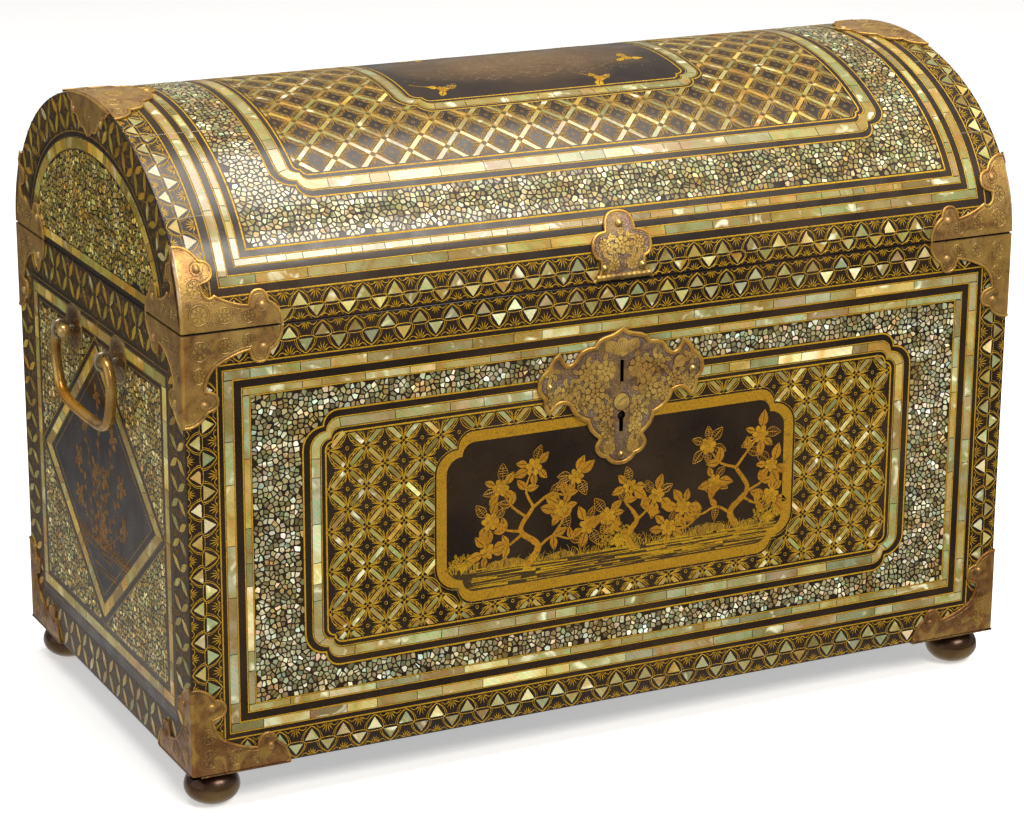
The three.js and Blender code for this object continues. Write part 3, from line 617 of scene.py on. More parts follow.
    def plate(self, outline, thickness, tint, holes=(), grid=0.0):
        """A sheet with holes. Grid cuts it into rows, so that it can follow a curved face."""
        loops = [outline if area(outline) > 0 else outline[::-1]]
        loops += [hole[::-1] if area(hole) > 0 else hole for hole in holes]
        flat = [point for loop in loops for point in loop]
        triangles = tessellate_polygon([[Vector((u, v, 0)) for u, v in loop] for loop in loops])
        sheet = bmesh.new()
        low = [sheet.verts.new((u, v, SUNK)) for u, v in flat]
        high = [sheet.verts.new((u, v, thickness)) for u, v in flat]
        for triangle in triangles:
            if area([flat[i] for i in triangle]) < 0:
                triangle = (triangle[0], triangle[2], triangle[1])
            sheet.faces.new([high[i] for i in triangle])
        start = 0
        for loop in loops:
            count = len(loop)
            for i in range(count):
                here, onward = start + i, start + (i + 1) % count
                sheet.faces.new((low[here], low[onward], high[onward], high[here]))
            start += count
        if grid:
            for axis, normal in enumerate((Vector((1, 0, 0)), Vector((0, 1, 0)))):
                lowest = min(point[axis] for point in flat)
                highest = max(point[axis] for point in flat)
                for k in range(1, math.ceil((highest - lowest) / grid)):
                    everything = sheet.verts[:] + sheet.edges[:] + sheet.faces[:]
                    place = normal * (lowest + k * grid)
                    bmesh.ops.bisect_plane(sheet, geom=everything, plane_co=place, plane_no=normal)
        sheet.verts.index_update()
        points = [tuple(vertex.co) for vertex in sheet.verts]
        faces = [tuple(vertex.index for vertex in face.verts) for face in sheet.faces]
        self.add(points, faces, tint)
        sheet.free()

    def made(self, name, material, flip_x=False, flip_y=False):
        """The object, in the row's frame. A flip mirrors it across the chest's middle."""
        points = np.array(self.points, float)
        which = np.array(self.point_places)
        placed = np.zeros_like(points)
        for index, place in enumerate(self.places):
            chosen = which == index
            if chosen.any():
                placed[chosen] = place(points[chosen])
        if flip_x:
            placed[:, 0] *= -1
        if flip_y:
            placed[:, 1] = 2 * MIDDLE - placed[:, 1]
        faces = self.faces if flip_x == flip_y else [face[::-1] for face in self.faces]
        mesh = meshed(name, placed, faces, material)
        shades = np.repeat([(*tint, 1.0)[:4] for tint in self.tints], [len(face) for face in faces], axis=0)
        colours = mesh.color_attributes.new(name="tint", type="FLOAT_COLOR", domain="CORNER")
        colours.data.foreach_set("color", shades.ravel())
        if self.places == [self.panel.place] and self.panel.width:
            flat = points[np.concatenate(faces), :2] / (self.panel.width, self.panel.height)
            unwrapped = mesh.uv_layers.new(name="OFBake")
            unwrapped.data.foreach_set("uv", (UV_MARGIN + flat * (1 - 2 * UV_MARGIN)).ravel())
        return linked(name, mesh)


def shown(piece, body, slot, *replaced):
    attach(piece, body)
    if replaced:
        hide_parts(*replaced)
    return piece


def smooth(piece, degrees=40):
    """Round faces shade as round, and sharp edges stay sharp."""
    mesh = piece.data
    mesh.polygons.foreach_set("use_smooth", [True] * len(mesh.polygons))
    mesh.set_sharp_from_angle(angle=math.radians(degrees))
    return piece


# Materials


class Shader:
    """A short way to write a node tree around one Principled shader."""

    def __init__(self, name, **values):
        self.material = bpy.data.materials.new(name)
        self.material.use_nodes = True
        self.tree = self.material.node_tree
        self.principled = self.tree.nodes["Principled BSDF"]
        for socket, value in values.items():
            self.principled.inputs[socket.replace("_", " ")].default_value = value
        self.coordinates = self.tree.nodes.new("ShaderNodeTexCoord").outputs["Object"]

    def node(self, kind, settings=None, **inputs):
        made = self.tree.nodes.new("ShaderNode" + kind)
        for name, value in (settings or {}).items():
            setattr(made, name, value)
        for socket, value in inputs.items():
            self.join(value, made.inputs[socket.replace("_", " ")])
        return made

    def join(self, value, socket):
        if isinstance(value, bpy.types.NodeSocket):
            self.tree.links.new(value, socket)
        else:
            socket.default_value = value

    def noise(self, scale, detail, distortion=0.0):
        values = {"Scale": scale, "Detail": detail, "Distortion": distortion}
        return self.node("TexNoise", Vector=self.coordinates, **values).outputs["Fac"]

    def ranged(self, value, low, high, new_low=0.0, new_high=1.0):
        made = self.node("MapRange", From_Min=low, From_Max=high, To_Min=new_low, To_Max=new_high)
        self.join(value, made.inputs["Value"])
        return made.outputs["Result"]

    def clouds(self, noise, low, high):
        """Patches where a noise, given as its scale, detail and distortion, runs high."""
        return self.ranged(self.noise(*noise), low, high)

    def math(self, operation, first, second):
        made = self.node("Math", {"operation": operation})
        self.join(first, made.inputs[0])
        self.join(second, made.inputs[1])
        return made.outputs[0]

    def times(self, first, second):
        return self.math("MULTIPLY", first, second)

    def plus(self, first, second):
        return self.math("ADD", first, second)

    def mix(self, share, first, second, blend="MIX"):
        made = self.node("Mix", {"data_type": "RGBA", "blend_type": blend})
        self.join(share, made.inputs["Factor"])
        for socket, value in ((made.inputs[6], first), (made.inputs[7], second)):
            self.join((*value, 1.0) if isinstance(value, tuple) else value, socket)
        return made.outputs[2]

    def toned(self, colour, tone):
        return self.mix(1.0, colour, tone, "MULTIPLY")

    def stained(self, colour, noise, low, high, share, stain):
        return self.mix(self.times(self.clouds(noise, low, high), share), colour, linear(stain))

    def tint(self, output="Color"):
        return self.node("VertexColor", {"layer_name": "tint"}).outputs[output]

    def colour(self, value):
        self.join(value, self.principled.inputs["Base Color"])

    def roughness(self, noise, low, high, smoothest, roughest):
        value = self.ranged(self.noise(*noise), low, high, smoothest, roughest)
        self.join(value, self.principled.inputs["Roughness"])

    def bump(self, height, strength, distance):
        made = self.node("Bump", Height=height, Strength=strength, Distance=distance)
        self.join(made.outputs["Normal"], self.principled.inputs["Normal"])


def lacquer_material():
    """Aged brown-black lacquer: glossy, with faint clouds and dust, and worn pale on top of the dome."""
    shader = Shader("lacquer", Coat_Weight=0.1, Coat_Roughness=0.12, Specular_IOR_Level=0.35)
    warm = blended(linear(BLACK), linear("4a3620"), 0.35)
    base = shader.mix(shader.clouds((14, 4), 0.35, 0.7), linear(BLACK), warm)
    dusty = shader.stained(base, (900, 2), 0.66, 0.75, 0.35, "6b5a3c")
    place = shader.node("SeparateXYZ", Vector=shader.coordinates).outputs
    hill = shader.plus(shader.math("POWER", shader.times(place["X"], 9.0), 2.0),
                       shader.math("POWER", shader.times(place["Y"], 17.0), 2.0))
    rough_hill = shader.plus(hill, shader.times(shader.noise(30, 5), 1.2))
    worn = shader.times(shader.ranged(rough_hill, 1.7, 0.6), shader.ranged(place["Z"], 0.45, 0.46))
    shader.colour(shader.mix(shader.times(worn, 0.9), dusty, linear("644c2a")))
    shader.roughness((60, 5), 0.3, 0.75, 0.22, 0.42)
    shader.bump(shader.noise(35, 3), 0.12, 0.0006)
    return shader.material


def lining_material():
    """Plain red-brown lacquer of the inside, satin and brushed along the grain."""
    shader = Shader("lining", Coat_Weight=0.15, Coat_Roughness=0.25)
    shader.colour(shader.mix(shader.clouds((18, 5, 0.6), 0.3, 0.75), linear(LINING), linear("57281a")))
    shader.roughness((120, 4), 0.3, 0.7, 0.35, 0.55)
    shader.bump(shader.noise(240, 3), 0.1, 0.0005)
    return shader.material


def painted_seam_shade_material():
    """The rims at the seam, painted nearly black as the shade in the gap under the lid: dull, with a trace of
    red.
    """
    shader = Shader("rim", Roughness=0.95, Specular_IOR_Level=0.05)
    shader.colour(shader.stained(linear("0d0907"), (160, 4), 0.6, 0.7, 0.5, "5a2414"))
    return shader.material


def nacre_material(name, coat, gloss, painted_glints):
    """Mother-of-pearl: its own tint, cloudy layers of green, pink and blue, painted glints in pale patches,
    and a wet gloss.
    """
    shader = Shader(name, Coat_Weight=coat, Coat_Roughness=0.08, Specular_IOR_Level=gloss, Roughness=0.24)
    toned = shader.tint()
    depth = shader.tint("Alpha")
    for scale, low, high, hue in ((90, 0.5, 0.66, (0.74, 1.08, 0.82)), (110, 0.56, 0.7, (1.3, 0.92, 0.95)),
                                  (140, 0.56, 0.7, (0.72, 1.0, 1.3))):
        share = shader.times(shader.clouds((scale, 3, 1.6), low, high), shader.times(depth, 0.7))
        toned = shader.mix(share, toned, shader.toned(toned, hue))
    amber = shader.times(shader.clouds((45, 3, 0.8), 0.42, 0.66), 0.8)
    retoned = shader.mix(amber, toned, shader.toned(toned, linear("e0bd6a")))
    # Painted glints: pale patches where a noise runs high.
    with_painted_glints = shader.stained(retoned, (62, 2, 0.6), 0.6, 0.72, painted_glints, "eef0cc")
    layers = shader.node("TexWave", {"bands_direction": "DIAGONAL"}, Vector=shader.coordinates, Scale=150.0,
                         Distortion=7.0, Detail=2.0).outputs["Fac"]
    veins = shader.ranged(layers, 0.0, 1.0, 0.94, 1.03)
    grey = shader.node("CombineColor", Red=veins, Green=veins, Blue=veins).outputs["Color"]
    shader.colour(shader.toned(with_painted_glints, grey))
    shader.bump(shader.noise(380, 2, 1.5), 0.25, 0.0003)
    return shader.material


def gold_material():
    """Sprinkled gold in lacquer: satin, ochre, and worn so that the dark ground shows."""
    shader = Shader("gold", Metallic=0.25, Specular_IOR_Level=0.3)
    tint = shader.tint()
    speckled = shader.mix(shader.clouds((900, 2), 0.3, 0.55), shader.toned(tint, (0.6, 0.58, 0.5)), tint)
    shader.colour(shader.stained(speckled, (180, 4, 0.5), 0.62, 0.7, 0.5, "3a2a14"))
    shader.roughness((700, 3), 0.3, 0.7, 0.34, 0.52)
    shader.bump(shader.noise(1400, 2), 0.2, 0.0002)
    return shader.material


def copper_material():
    """Gilt copper, worn brown in patches, with a punched ground that sparkles."""
    shader = Shader("gilt_copper", Metallic=0.6)
    tint = shader.tint()
    mellow = shader.mix(shader.clouds((45, 5, 0.8), 0.35, 0.7), shader.toned(tint, linear("c8b4a8")), tint)
    height = shader.node("SeparateXYZ", Vector=shader.coordinates).outputs["Z"]
    # Darker and warmer towards the bottom: from 0.16 m down to 0.06 m up, the colour goes over to itself
    # multiplied by cbb8b0.
    retoned = shader.mix(shader.ranged(height, 0.16, 0.06), mellow, shader.toned(mellow, linear("cbb8b0")))
    stained = shader.stained(retoned, (110, 6, 1.0), 0.53, 0.68, 0.5, "4a3423")
    gilded = shader.stained(stained, (60, 6, 1.2), 0.48, 0.6, 0.55, "bc984a")
    cells = shader.node("TexVoronoi", Vector=shader.coordinates, Scale=720).outputs["Distance"]
    dots = shader.times(shader.ranged(cells, 0.2, 0.5), shader.tint("Alpha"))
    shader.colour(shader.mix(shader.times(dots, 0.55), gilded, linear("4a3628")))
    shader.roughness((160, 4), 0.3, 0.7, 0.3, 0.48)
    shader.bump(shader.plus(shader.noise(420, 3), shader.times(dots, -0.8)), 0.5, 0.0004)
    return shader.material


def polished_material():
    """Brass nail heads, rubbed bright."""
    shader = Shader("polished", Metallic=0.85)
    shader.colour(shader.stained(shader.tint(), (140, 4, 0.6), 0.45, 0.65, 0.5, "6e5636"))
    shader.roughness((200, 3), 0.3, 0.7, 0.18, 0.34)
    shader.bump(shader.noise(500, 2), 0.1, 0.0002)
    return shader.material


def bronze_material():
    """Polished bronze, flecked with brown, and rubbed golden where hands reach."""
    shader = Shader("bronze", Metallic=0.7, Coat_Weight=0.1)
    tint = shader.tint()
    base = shader.mix(shader.clouds((30, 4, 0.7), 0.35, 0.62), shader.toned(tint, linear("c4b0a0")), tint)
    shader.colour(shader.stained(base, (420, 3), 0.62, 0.72, 0.2, "3a2a16"))
    shader.roughness((60, 3), 0.3, 0.7, 0.2, 0.34)
    shader.bump(shader.noise(90, 2), 0.08, 0.0004)
    return shader.material


def iron_material():
    """Dark forged iron with scale and a trace of rust."""
    shader = Shader("iron", Metallic=0.8)
    shader.colour(shader.mix(shader.clouds((80, 5, 0.5), 0.5, 0.68), linear(IRON), linear("553522")))
    shader.roughness((200, 4), 0.3, 0.7, 0.45, 0.75)
    shader.bump(shader.noise(260, 4), 0.4, 0.0006)
    return shader.material


LACQUER = lacquer_material()
LINING_LACQUER = lining_material()
SEAM_PAINTED_SHADE = painted_seam_shade_material()
NACRE_SHELL = nacre_material("nacre", coat=0.6, gloss=0.6, painted_glints=0.75)
DULL_SHELL = nacre_material("dull_nacre", coat=0.1, gloss=0.3, painted_glints=0.3)
GOLD_LACQUER = gold_material()
GILT_COPPER = copper_material()
POLISHED_BRASS = polished_material()
BRONZE_METAL = bronze_material()
IRON_METAL = iron_material()
GILDED = (GILT_COPPER, "gilt_copper")
BRASS = (POLISHED_BRASS, "gilt_copper")
BRONZED = (BRONZE_METAL, "bronze")


# Camera, where the photograph was taken from

IMAGE_WIDTH = 1024
SENSOR_WIDTH = 36.0
FOCAL_PIXELS = 3160.4
AZIMUTH = math.radians(-26.46)
ELEVATION = math.radians(17.39)
ROLL = math.radians(0.29)
EYE_DISTANCE = 2421.07
AIM = Vector((0.81, MIDDLE, BOTTOM + 167.43))
NEAREST_SEEN = 0.05
FARTHEST_SEEN = 50


def make_camera():
    sideways, sloping = math.sin(AZIMUTH), math.cos(ELEVATION)
    back = Vector((sideways * sloping, -math.cos(AZIMUTH) * sloping, math.sin(ELEVATION)))
    level = Vector((math.cos(AZIMUTH), sideways, 0))
    upright = back.cross(level)
    right = level * math.cos(ROLL) + upright * math.sin(ROLL)
    up = upright * math.cos(ROLL) - level * math.sin(ROLL)
    lens = bpy.data.cameras.new("camera")
    lens.sensor_width = SENSOR_WIDTH
    lens.sensor_fit = "HORIZONTAL"
    lens.lens = FOCAL_PIXELS * SENSOR_WIDTH / IMAGE_WIDTH
    lens.clip_start = NEAREST_SEEN
    lens.clip_end = FARTHEST_SEEN
    camera = linked("camera", lens)
    turned = Matrix((right, up, back)).transposed().to_4x4()
    camera.matrix_world = Matrix.Translation((AIM + back * EYE_DISTANCE) * MM) @ turned
    bpy.context.scene.camera = camera


# Carcass: the boards and the domed lid, lacquered all over

ARRIS = 0.9
SMALL_FACE = 1e-3
STAVE_STEP = 2.2


def softened(node, name, is_arris):
    """A board copied from the frame, with its outer arrises rounded and its inner face lined."""
    board = bmesh.new()
    board.from_mesh(frame["nodes"][node].data)
    bmesh.ops.remove_doubles(board, verts=board.verts, dist=TINY)
    bmesh.ops.dissolve_limit(board, angle_limit=0.01, verts=board.verts, edges=board.edges)
    chosen = [edge for edge in board.edges if all(is_arris(vertex.co / MM) for vertex in edge.verts)]
    bmesh.ops.bevel(board, geom=chosen, offset=ARRIS * MM, segments=3, profile=0.5, affect="EDGES")
    for face in board.faces:
        face.smooth = face.calc_area() < SMALL_FACE
        centre = face.calc_center_median() / MM
        # Faces on the seam take the painted shade of the gap under the lid.
        if near(centre.z, SEAM):
            face.material_index = 2
        elif faces_inward(centre):
            face.material_index = 1
    mesh = meshed(name, [], [], LACQUER, LINING_LACQUER, SEAM_PAINTED_SHADE)
    board.to_mesh(mesh)
    board.free()
    return shown(linked(name, mesh), "chest", "lacquer", node)


def near(value, target):
    return abs(value - target) < 0.05


def outer_arris(p):
    """True for points that lie on two outer faces, or on one of them and the bottom."""
    return near(abs(p.x), HALF_WIDTH) + (near(p.y, FRONT) or near(p.y, BACK)) + near(p.z, BOTTOM) >= 2


def faces_inward(centre):
    inner_x = abs(centre.x) < HALF_WIDTH - WALL / 2
    inner_y = FRONT + WALL / 2 < centre.y < BACK - WALL / 2
    return inner_x and inner_y and centre.z > BOTTOM + 1


def make_carcass():
    for board in ("front", "back", "left", "right"):
        softened(f"{board}_board", f"{board}_lacquer", outer_arris)
    softened("base_board", "base_lacquer", lambda p: False)


def stave_mesh(name, start, end):
    """One stave of the lid: an arched bar with rounded ends, from one arch length to another."""
    section = [(0, -STAVE_THICKNESS), (0, -2 * ARRIS), (0, -ARRIS)]
    section += [(ARRIS * 0.3, -ARRIS * 0.3), (ARRIS, 0), (2 * ARRIS, 0)]
    section += [(WIDTH - across, out) for across, out in reversed(section)]
    rows = max(8, round((end - start) / STAVE_STEP))
    angles = np.interp(np.linspace(start, end, rows + 1), ARCH_LENGTHS, ARCH_ANGLES)
    points = []
    for across, out in section:
        y, z = arch_points(angles, out)
        points.append(np.column_stack((np.full(rows + 1, across - HALF_WIDTH), y, z)))
    count = len(section)
    placed = np.stack(points, axis=1).reshape(-1, 3)
    mesh = meshed(name, placed, bar_faces(rows, count), LACQUER, LINING_LACQUER)
    for i in range(rows):
        mesh.polygons[(i + 1) * count - 1].material_index = 1
    return smooth(linked(name, mesh), 30)


def make_staves():
    for k in range(STAVES):
        start, end = ARCH * k / STAVES, ARCH * (k + 1) / STAVES
        number = STAVES - k
        piece = stave_mesh(f"lid_lacquer_{number}", start, end)
        shown(piece, "lid", "lacquer", f"lid_stave_{number}")


def make_lid_ends():
    """The two arched end boards, flush with the staves."""
    count = 121
    y, z = arch_points(np.linspace(0, math.pi, count), -STAVE_THICKNESS)
    z = np.maximum(z, LID_BOTTOM)
    for side, sign in (("left", -1), ("right", 1)):
        outer, inner = sign * HALF_WIDTH, sign * (HALF_WIDTH - STAVE_THICKNESS)
        points = [(x, yy, zz) for x in (outer, inner) for yy, zz in zip(y, z)]
        faces = [tuple(range(count)), tuple(range(2 * count - 1, count - 1, -1))]
        faces += [(i, count + i, count + (i + 1) % count, (i + 1) % count) for i in range(count)]
        if sign < 0:
            faces = [face[::-1] for face in faces]
        name = f"lid_end_lacquer_{side}"
        mesh = meshed(name, points, faces, LACQUER, LINING_LACQUER)
        mesh.polygons[1].material_index = 1
        shown(linked(name, mesh), "lid", "lacquer", f"lid_end_{side}")


# Shell inlay

CHIP_PITCH = 3.8
CHIP_GAP = 0.85
SMALLEST_CHIP = 2.2
SHELL_GAP = 0.55
PETAL_TURN = 56
PETAL_DIM = (0.84, 0.78, 0.4, 1.0)
PETAL_SIZE = (16.0, 5.4)
DOTS_PER_PETAL = 16
SPRIG = [(-1.8, -0.5), (-0.5, 0.35), (0.6, 0.3), (1.8, -0.4)]
DUST_HEIGHT = 0.03


def leaning(shade, layer, low, high):
    """A shade made lighter or darker by chance, with its panel's painted cast of light and depth of hue."""
    light = layer.chance.uniform(low, high)
    lean = layer.panel.lean
    return (*(part * light * lean[k] for k, part in enumerate(shade)), lean[3])


def nacre_tint(layer, bright=0.07):
    chance = layer.chance
    shade = blended(linear(chance.choice(NACRE)), linear(chance.choice(NACRE)), chance.random())
    if chance.random() < bright:
        shade = blended(shade, linear(chance.choice(NACRE_BRIGHT)), chance.uniform(0.4, 0.9))
    return leaning(shade, layer, 0.76, 1.3)


def chip_tint(layer):
    chance = layer.chance
    shade = linear(chance.choice(CHIPS))
    if chance.random() < 0.2:
        shade = blended(shade, linear(chance.choice(CHIPS_BRIGHT)), chance.uniform(0.3, 1.0))
    return leaning(shade, layer, 0.6, 1.35)


def trimmed(polygon, place, depth, inside, margin):
    """A polygon cut along the edge that is nearest to a place, less a margin."""
    u, v = place
    step = 0.05
    slope_u = (inside(u + step, v) - inside(u - step, v)) / (2 * step)
    slope_v = (inside(u, v + step) - inside(u, v - step)) / (2 * step)
    size = max(math.hypot(slope_u, slope_v), 1e-3)
    normal = (-slope_u / size, -slope_v / size)
    return clipped(polygon, normal, normal[0] * u + normal[1] * v + depth / size - margin)


def mosaic(layer, box, inside):
    """Irregular shell chips that fill the space where inside is above nothing."""
    chance = layer.chance
    left, low, right, high = box
    sites = {}
    for i in range(-1, math.ceil((right - left) / CHIP_PITCH) + 2):
        for j in range(-1, math.ceil((high - low) / CHIP_PITCH) + 2):
            u = left + (i + chance.uniform(0.08, 0.92)) * CHIP_PITCH
            v = low + (j + chance.uniform(0.08, 0.92)) * CHIP_PITCH
            depth = inside(u, v)
            if depth > 0.8:
                sites[i, j] = (u, v, depth)
    for (i, j), (u, v, depth) in sites.items():
        turn = chance.uniform(0, 360)
        corners = chance.choice((4, 5, 5, 6))
        cell = []
        for k in range(corners):
            way = turn + (k + chance.uniform(-0.28, 0.28)) * 360 / corners
            cell.append(away((u, v), CHIP_PITCH * chance.uniform(0.55, 0.9), way))
        gap = CHIP_GAP * chance.uniform(0.35, 0.7)
        others = (sites.get((i + di, j + dj)) for di in range(-2, 3) for dj in range(-2, 3) if di or dj)
        for other in others:
            if other is None or not cell:
                continue
            du, dv = other[0] - u, other[1] - v
            length = math.hypot(du, dv)
            if length <= 2.6 * CHIP_PITCH:
                normal = (du / length, dv / length)
                limit = normal[0] * u + normal[1] * v + length / 2 - gap
                cell = clipped(cell, normal, limit)
        if depth < 1.6 * CHIP_PITCH and cell:
            cell = trimmed(cell, (u, v), depth, inside, 0.3)
        if len(cell) > 2 and abs(area(cell)) > SMALLEST_CHIP:
            slope = (chance.gauss(0, 0.02), chance.gauss(0, 0.02))
            layer.tile(cell, SHELL_HEIGHT, chip_tint(layer), slope=slope, chamfer=0.09)


def shell_lengths(chance, total, shortest, longest):
    """Where a shell strip of one total length is cut into pieces."""
    cuts = [0.0]
    while total - cuts[-1] > longest:
        cuts.append(cuts[-1] + chance.uniform(shortest, longest))
    if total - cuts[-1] < shortest and len(cuts) > 1:
        cuts.pop()
    return cuts + [total]


def shell_band(layer, left, right, shortest, longest):
    """A shell strip between two lines that run side by side, cut into pieces."""
    middle = [midway(a, b) for a, b in zip(left, right)]
    run = [0.0]
    for start, end in zip(middle, middle[1:]):
        run.append(run[-1] + math.hypot(end[0] - start[0], end[1] - start[1]))
    run = np.array(run)
    cuts = shell_lengths(layer.chance, run[-1], shortest, longest)
    for start, end in zip(cuts, cuts[1:]):
        start, end = start + SHELL_GAP / 2, end - SHELL_GAP / 2
        inner = run[(run > start + 0.2) & (run < end - 0.2)]
        stations = np.concatenate(([start], inner, [end]))
        if layer.panel.curved:
            count = max(2, math.ceil((end - start) / CURVE_STEP) + 1)
            stations = np.unique(np.concatenate((stations, np.linspace(start, end, count))))
        sides = []
        for line in (np.array(left), np.array(right)):
            places = np.column_stack([np.interp(stations, run, line[:, axis]) for axis in (0, 1)])
            sides.append([tuple(place) for place in places.tolist()])
        layer.chain(sides[0], sides[1], SHELL_HEIGHT, nacre_tint(layer))


def shell_rectangle(layer, box, width, shortest, longest):
    """Four shell strips round a rectangle. The level ones run through, and the upright ones butt on them."""
    left, low, right, high = box
    for v in (low, high - width):
        shell_band(layer, [(left, v), (right, v)], [(left, v + width), (right, v + width)], shortest, longest)
    for u in (left, right - width):
        start, end = low + width + 0.4, high - width - 0.4
        shell_band(layer, [(u, start), (u, end)], [(u + width, start), (u + width, end)], shortest, longest)


def petal(layer, centre, degrees, length, width, tint, top=SHELL_HEIGHT, base=0.0):
    """A lens with pointed tips, turned about its middle."""
    half = [(length * (i / 6 - 0.5), width / 2 * math.sin(math.pi * i / 6)) for i in range(7)]
    upper = turned_about(half, centre, degrees)
    lower = turned_about([(u, -v) for u, v in half], centre, degrees)
    layer.chain(upper, lower, top, tint, base)


def dimmed_nacre(shell, bright, dim):
    return tuple(part * share for part, share in zip(nacre_tint(shell, bright), dim))


# Gold work


def gold_tint(chance, shade=GOLD):
    light = chance.uniform(0.86, 1.12)
    return tuple(part * light * chance.uniform(0.97, 1.03) for part in linear(shade))


def gild(gold, path, width, shade=GOLD, closed=False):
    """A line of gold with a lightness of its own."""
    gold.line(path, width, gold_tint(gold.chance, shade), closed=closed)


def edge_tracks(width, height):
    """The four edges of a panel, each as its length and a way from along and inward to across and up."""
    return (
        (width, lambda a, d: (a, d)),
        (height, lambda a, d: (width - d, a)),
        (width, lambda a, d: (width - a, height - d)),
        (height, lambda a, d: (d, height - a)),
    )


class TriangleBorder:
    """Two rows of shell triangles on a gold line, in pointed gold arches, with gold sprays between them."""

    def __init__(self, outer, inner, width, pitch, limit):
        self.outer = outer
        self.inner = inner
        self.width = width
        self.pitch = pitch
        self.limit = limit

    def lay(self, shell, gold, skip):
        for length, track in edge_tracks(shell.panel.width, shell.panel.height):
            count = round((length - 2 * skip) / self.pitch)
            for k in range(count + 1):
                self.pair(shell, gold, track, skip + (length - 2 * skip) * k / count)

    def pair(self, shell, gold, track, along):
        chance = shell.chance
        half = self.width / 2
        step = self.pitch / 2
        for place, (base, tip) in ((along, self.inner), (along + step, self.outer)):
            corners = [track(place - half, base), track(place + half, base), track(place, tip)]
            shell.tile(corners, SHELL_HEIGHT, nacre_tint(shell, 0.3), slope=(chance.gauss(0, 0.015),) * 2)
            side = 1 if tip > base else -1
            for out, width in ((1.3, 0.7), (2.7, 0.5)):
                point = min(max(tip + side * out * 1.2, 0.7), self.limit - 0.6)
                for hand in (-1, 1):
                    foot = (place + hand * (half + out), base)
                    bend = (place + hand * (half + out * 0.9), base + (tip - base) * 0.72)
                    arch = [foot] + quadratic(foot, bend, (place, point), 7)
                    gold.line([track(*p) for p in arch], width, gold_tint(chance))
            start = 90 + 90 * side
            under = arc((place, base - side * 0.4), (half + 1.4, 1.6), start, start + 180, 8)
            gold.line([track(*p) for p in under], 0.6, gold_tint(chance))
        self.palmette(gold, track, along + step, self.limit - 0.6, -1, 7.0)
        self.palmette(gold, track, along, 0.8, 1, 5.4)

    def palmette(self, gold, track, along, root, side, reach):
        """A spray of slender leaves between two scallops, rooted on the border's edge."""
        start, end = track(along, root), track(along, root + side)
        for turn, share in ((-64, 0.72), (-36, 0.88), (-12, 1.0), (12, 1.0), (36, 0.88), (64, 0.72)):
            way = heading(start, end) + turn
            place = away(start, 0.5 * reach * share + 0.5, way)
            petal(gold, place, way, reach * share, 0.85, gold_tint(gold.chance), GOLD_HEIGHT)
        for hand in (-1, 1):
            near_end, far_end = along + hand * 2.6, along + hand * 8.2
            foot = (near_end, root + side * 0.3)
            crown = (along + hand * 5.4, root + side * 4.4)
            scallop = [foot] + quadratic(foot, crown, (far_end, root + side * 0.3), 6)
            gild(gold, [track(*p) for p in scallop], 0.6)


def petal_border(shell, gold, length, track, skip, insets, pitch):
    """Two rows of shell petals that lean left and right by turns, on a ground of gold dust."""
    chance = shell.chance
    count = round((length - 2 * skip) / pitch)
    far = insets[0] + insets[1]
    steps = max(2, math.ceil(length / 12))
    stations = [length * i / steps for i in range(steps + 1)]
    near_side = [track(a, 1.2) for a in stations]
    far_side = [track(min(max(a, far), length - far), far) for a in stations]
    gold.chain(near_side, far_side, DUST_HEIGHT, linear(DUST), chamfer=DUST_HEIGHT)
    for k in range(count + 1):
        along = skip + (length - 2 * skip) * k / count
        for row, inset in enumerate(insets):
            lean = PETAL_TURN if (k + row) % 2 else -PETAL_TURN
            way = heading(track(along - 0.5, inset), track(along + 0.5, inset)) + lean
            petal(shell, track(along, inset), way, *PETAL_SIZE, dimmed_nacre(shell, 0.0, PETAL_DIM))
        for _ in range(DOTS_PER_PETAL):
            dot = track(along + pitch / 2 + chance.uniform(-3.4, 3.4), insets[0] + chance.uniform(-7, 21))
            turned = turned_about(SPRIG, dot, chance.uniform(0, 360))
            gold.line(turned, 0.6, gold_tint(chance, GOLD_FADED), base=DUST_HEIGHT)


class Frame:
    """A rectangle with indented corners, whose steps shrink for a line that lies inside its edge."""

    def __init__(self, box, steps, shrink=(0.59, 0.29)):
        self.box = box
        self.steps = steps
        self.shrink = shrink

    def outline(self, depth):
        steps = [step - shrink * depth for step, shrink in zip(self.steps, self.shrink)]
        return indented(inset_box(self.box, depth), *steps)

    def inside(self, u, v):
        return inside_indented(u, v, self.box, *self.steps)

    def lines(self, gold, rings):
        """Gold lines, each given as how far inside the edge it lies and its width."""
        for depth, width in rings:
            gild(gold, self.outline(depth), width, closed=True)

    def band(self, near_edge, far_edge):
        outer, inner = self.outline(near_edge), self.outline(far_edge)
        return outer + outer[:1], inner + inner[:1]


LATTICE_PITCH = (28.3, 29.4)
BAR_WIDTH = 3.3
FRONT_BAR = 13.6
DOME_BAR = 16.6
WHOLE_BAR_DEPTH = 6.5
SMALLEST_BAR = 8
BOWS = (3.0, 4.7)
BOW_ROOT = 1.2
NODE_HALF = 2.6
CELL_REACH = 3.4
LATTICE_DIM = (0.98, 0.9, 0.62, 1.0)


def lattice(shell, gold, box, first, inside, bar_length, shade):
    """A diagonal trellis of shell bars with gold bows, nodes and sprays."""
    across, up = LATTICE_PITCH[0] / 2, LATTICE_PITCH[1] / 2
    columns = math.ceil((box[2] - first[0]) / across) + 1
    rows = math.ceil((box[3] - first[1]) / up) + 1
    for i in range(-2, columns):
        for j in range(-2, rows):
            if (i + j) % 2:
                continue
            node = (first[0] + i * across, first[1] + j * up)
            if inside(*node) > 0.6:
                lattice_node(gold, node, shade)
            for side in (-1, 1):
                end = (node[0] + side * across, node[1] + up)
                lattice_bar(shell, gold, node, end, inside, bar_length, shade)
            lattice_cell(gold, (node[0] + across, node[1]), (across, up), inside, shade)


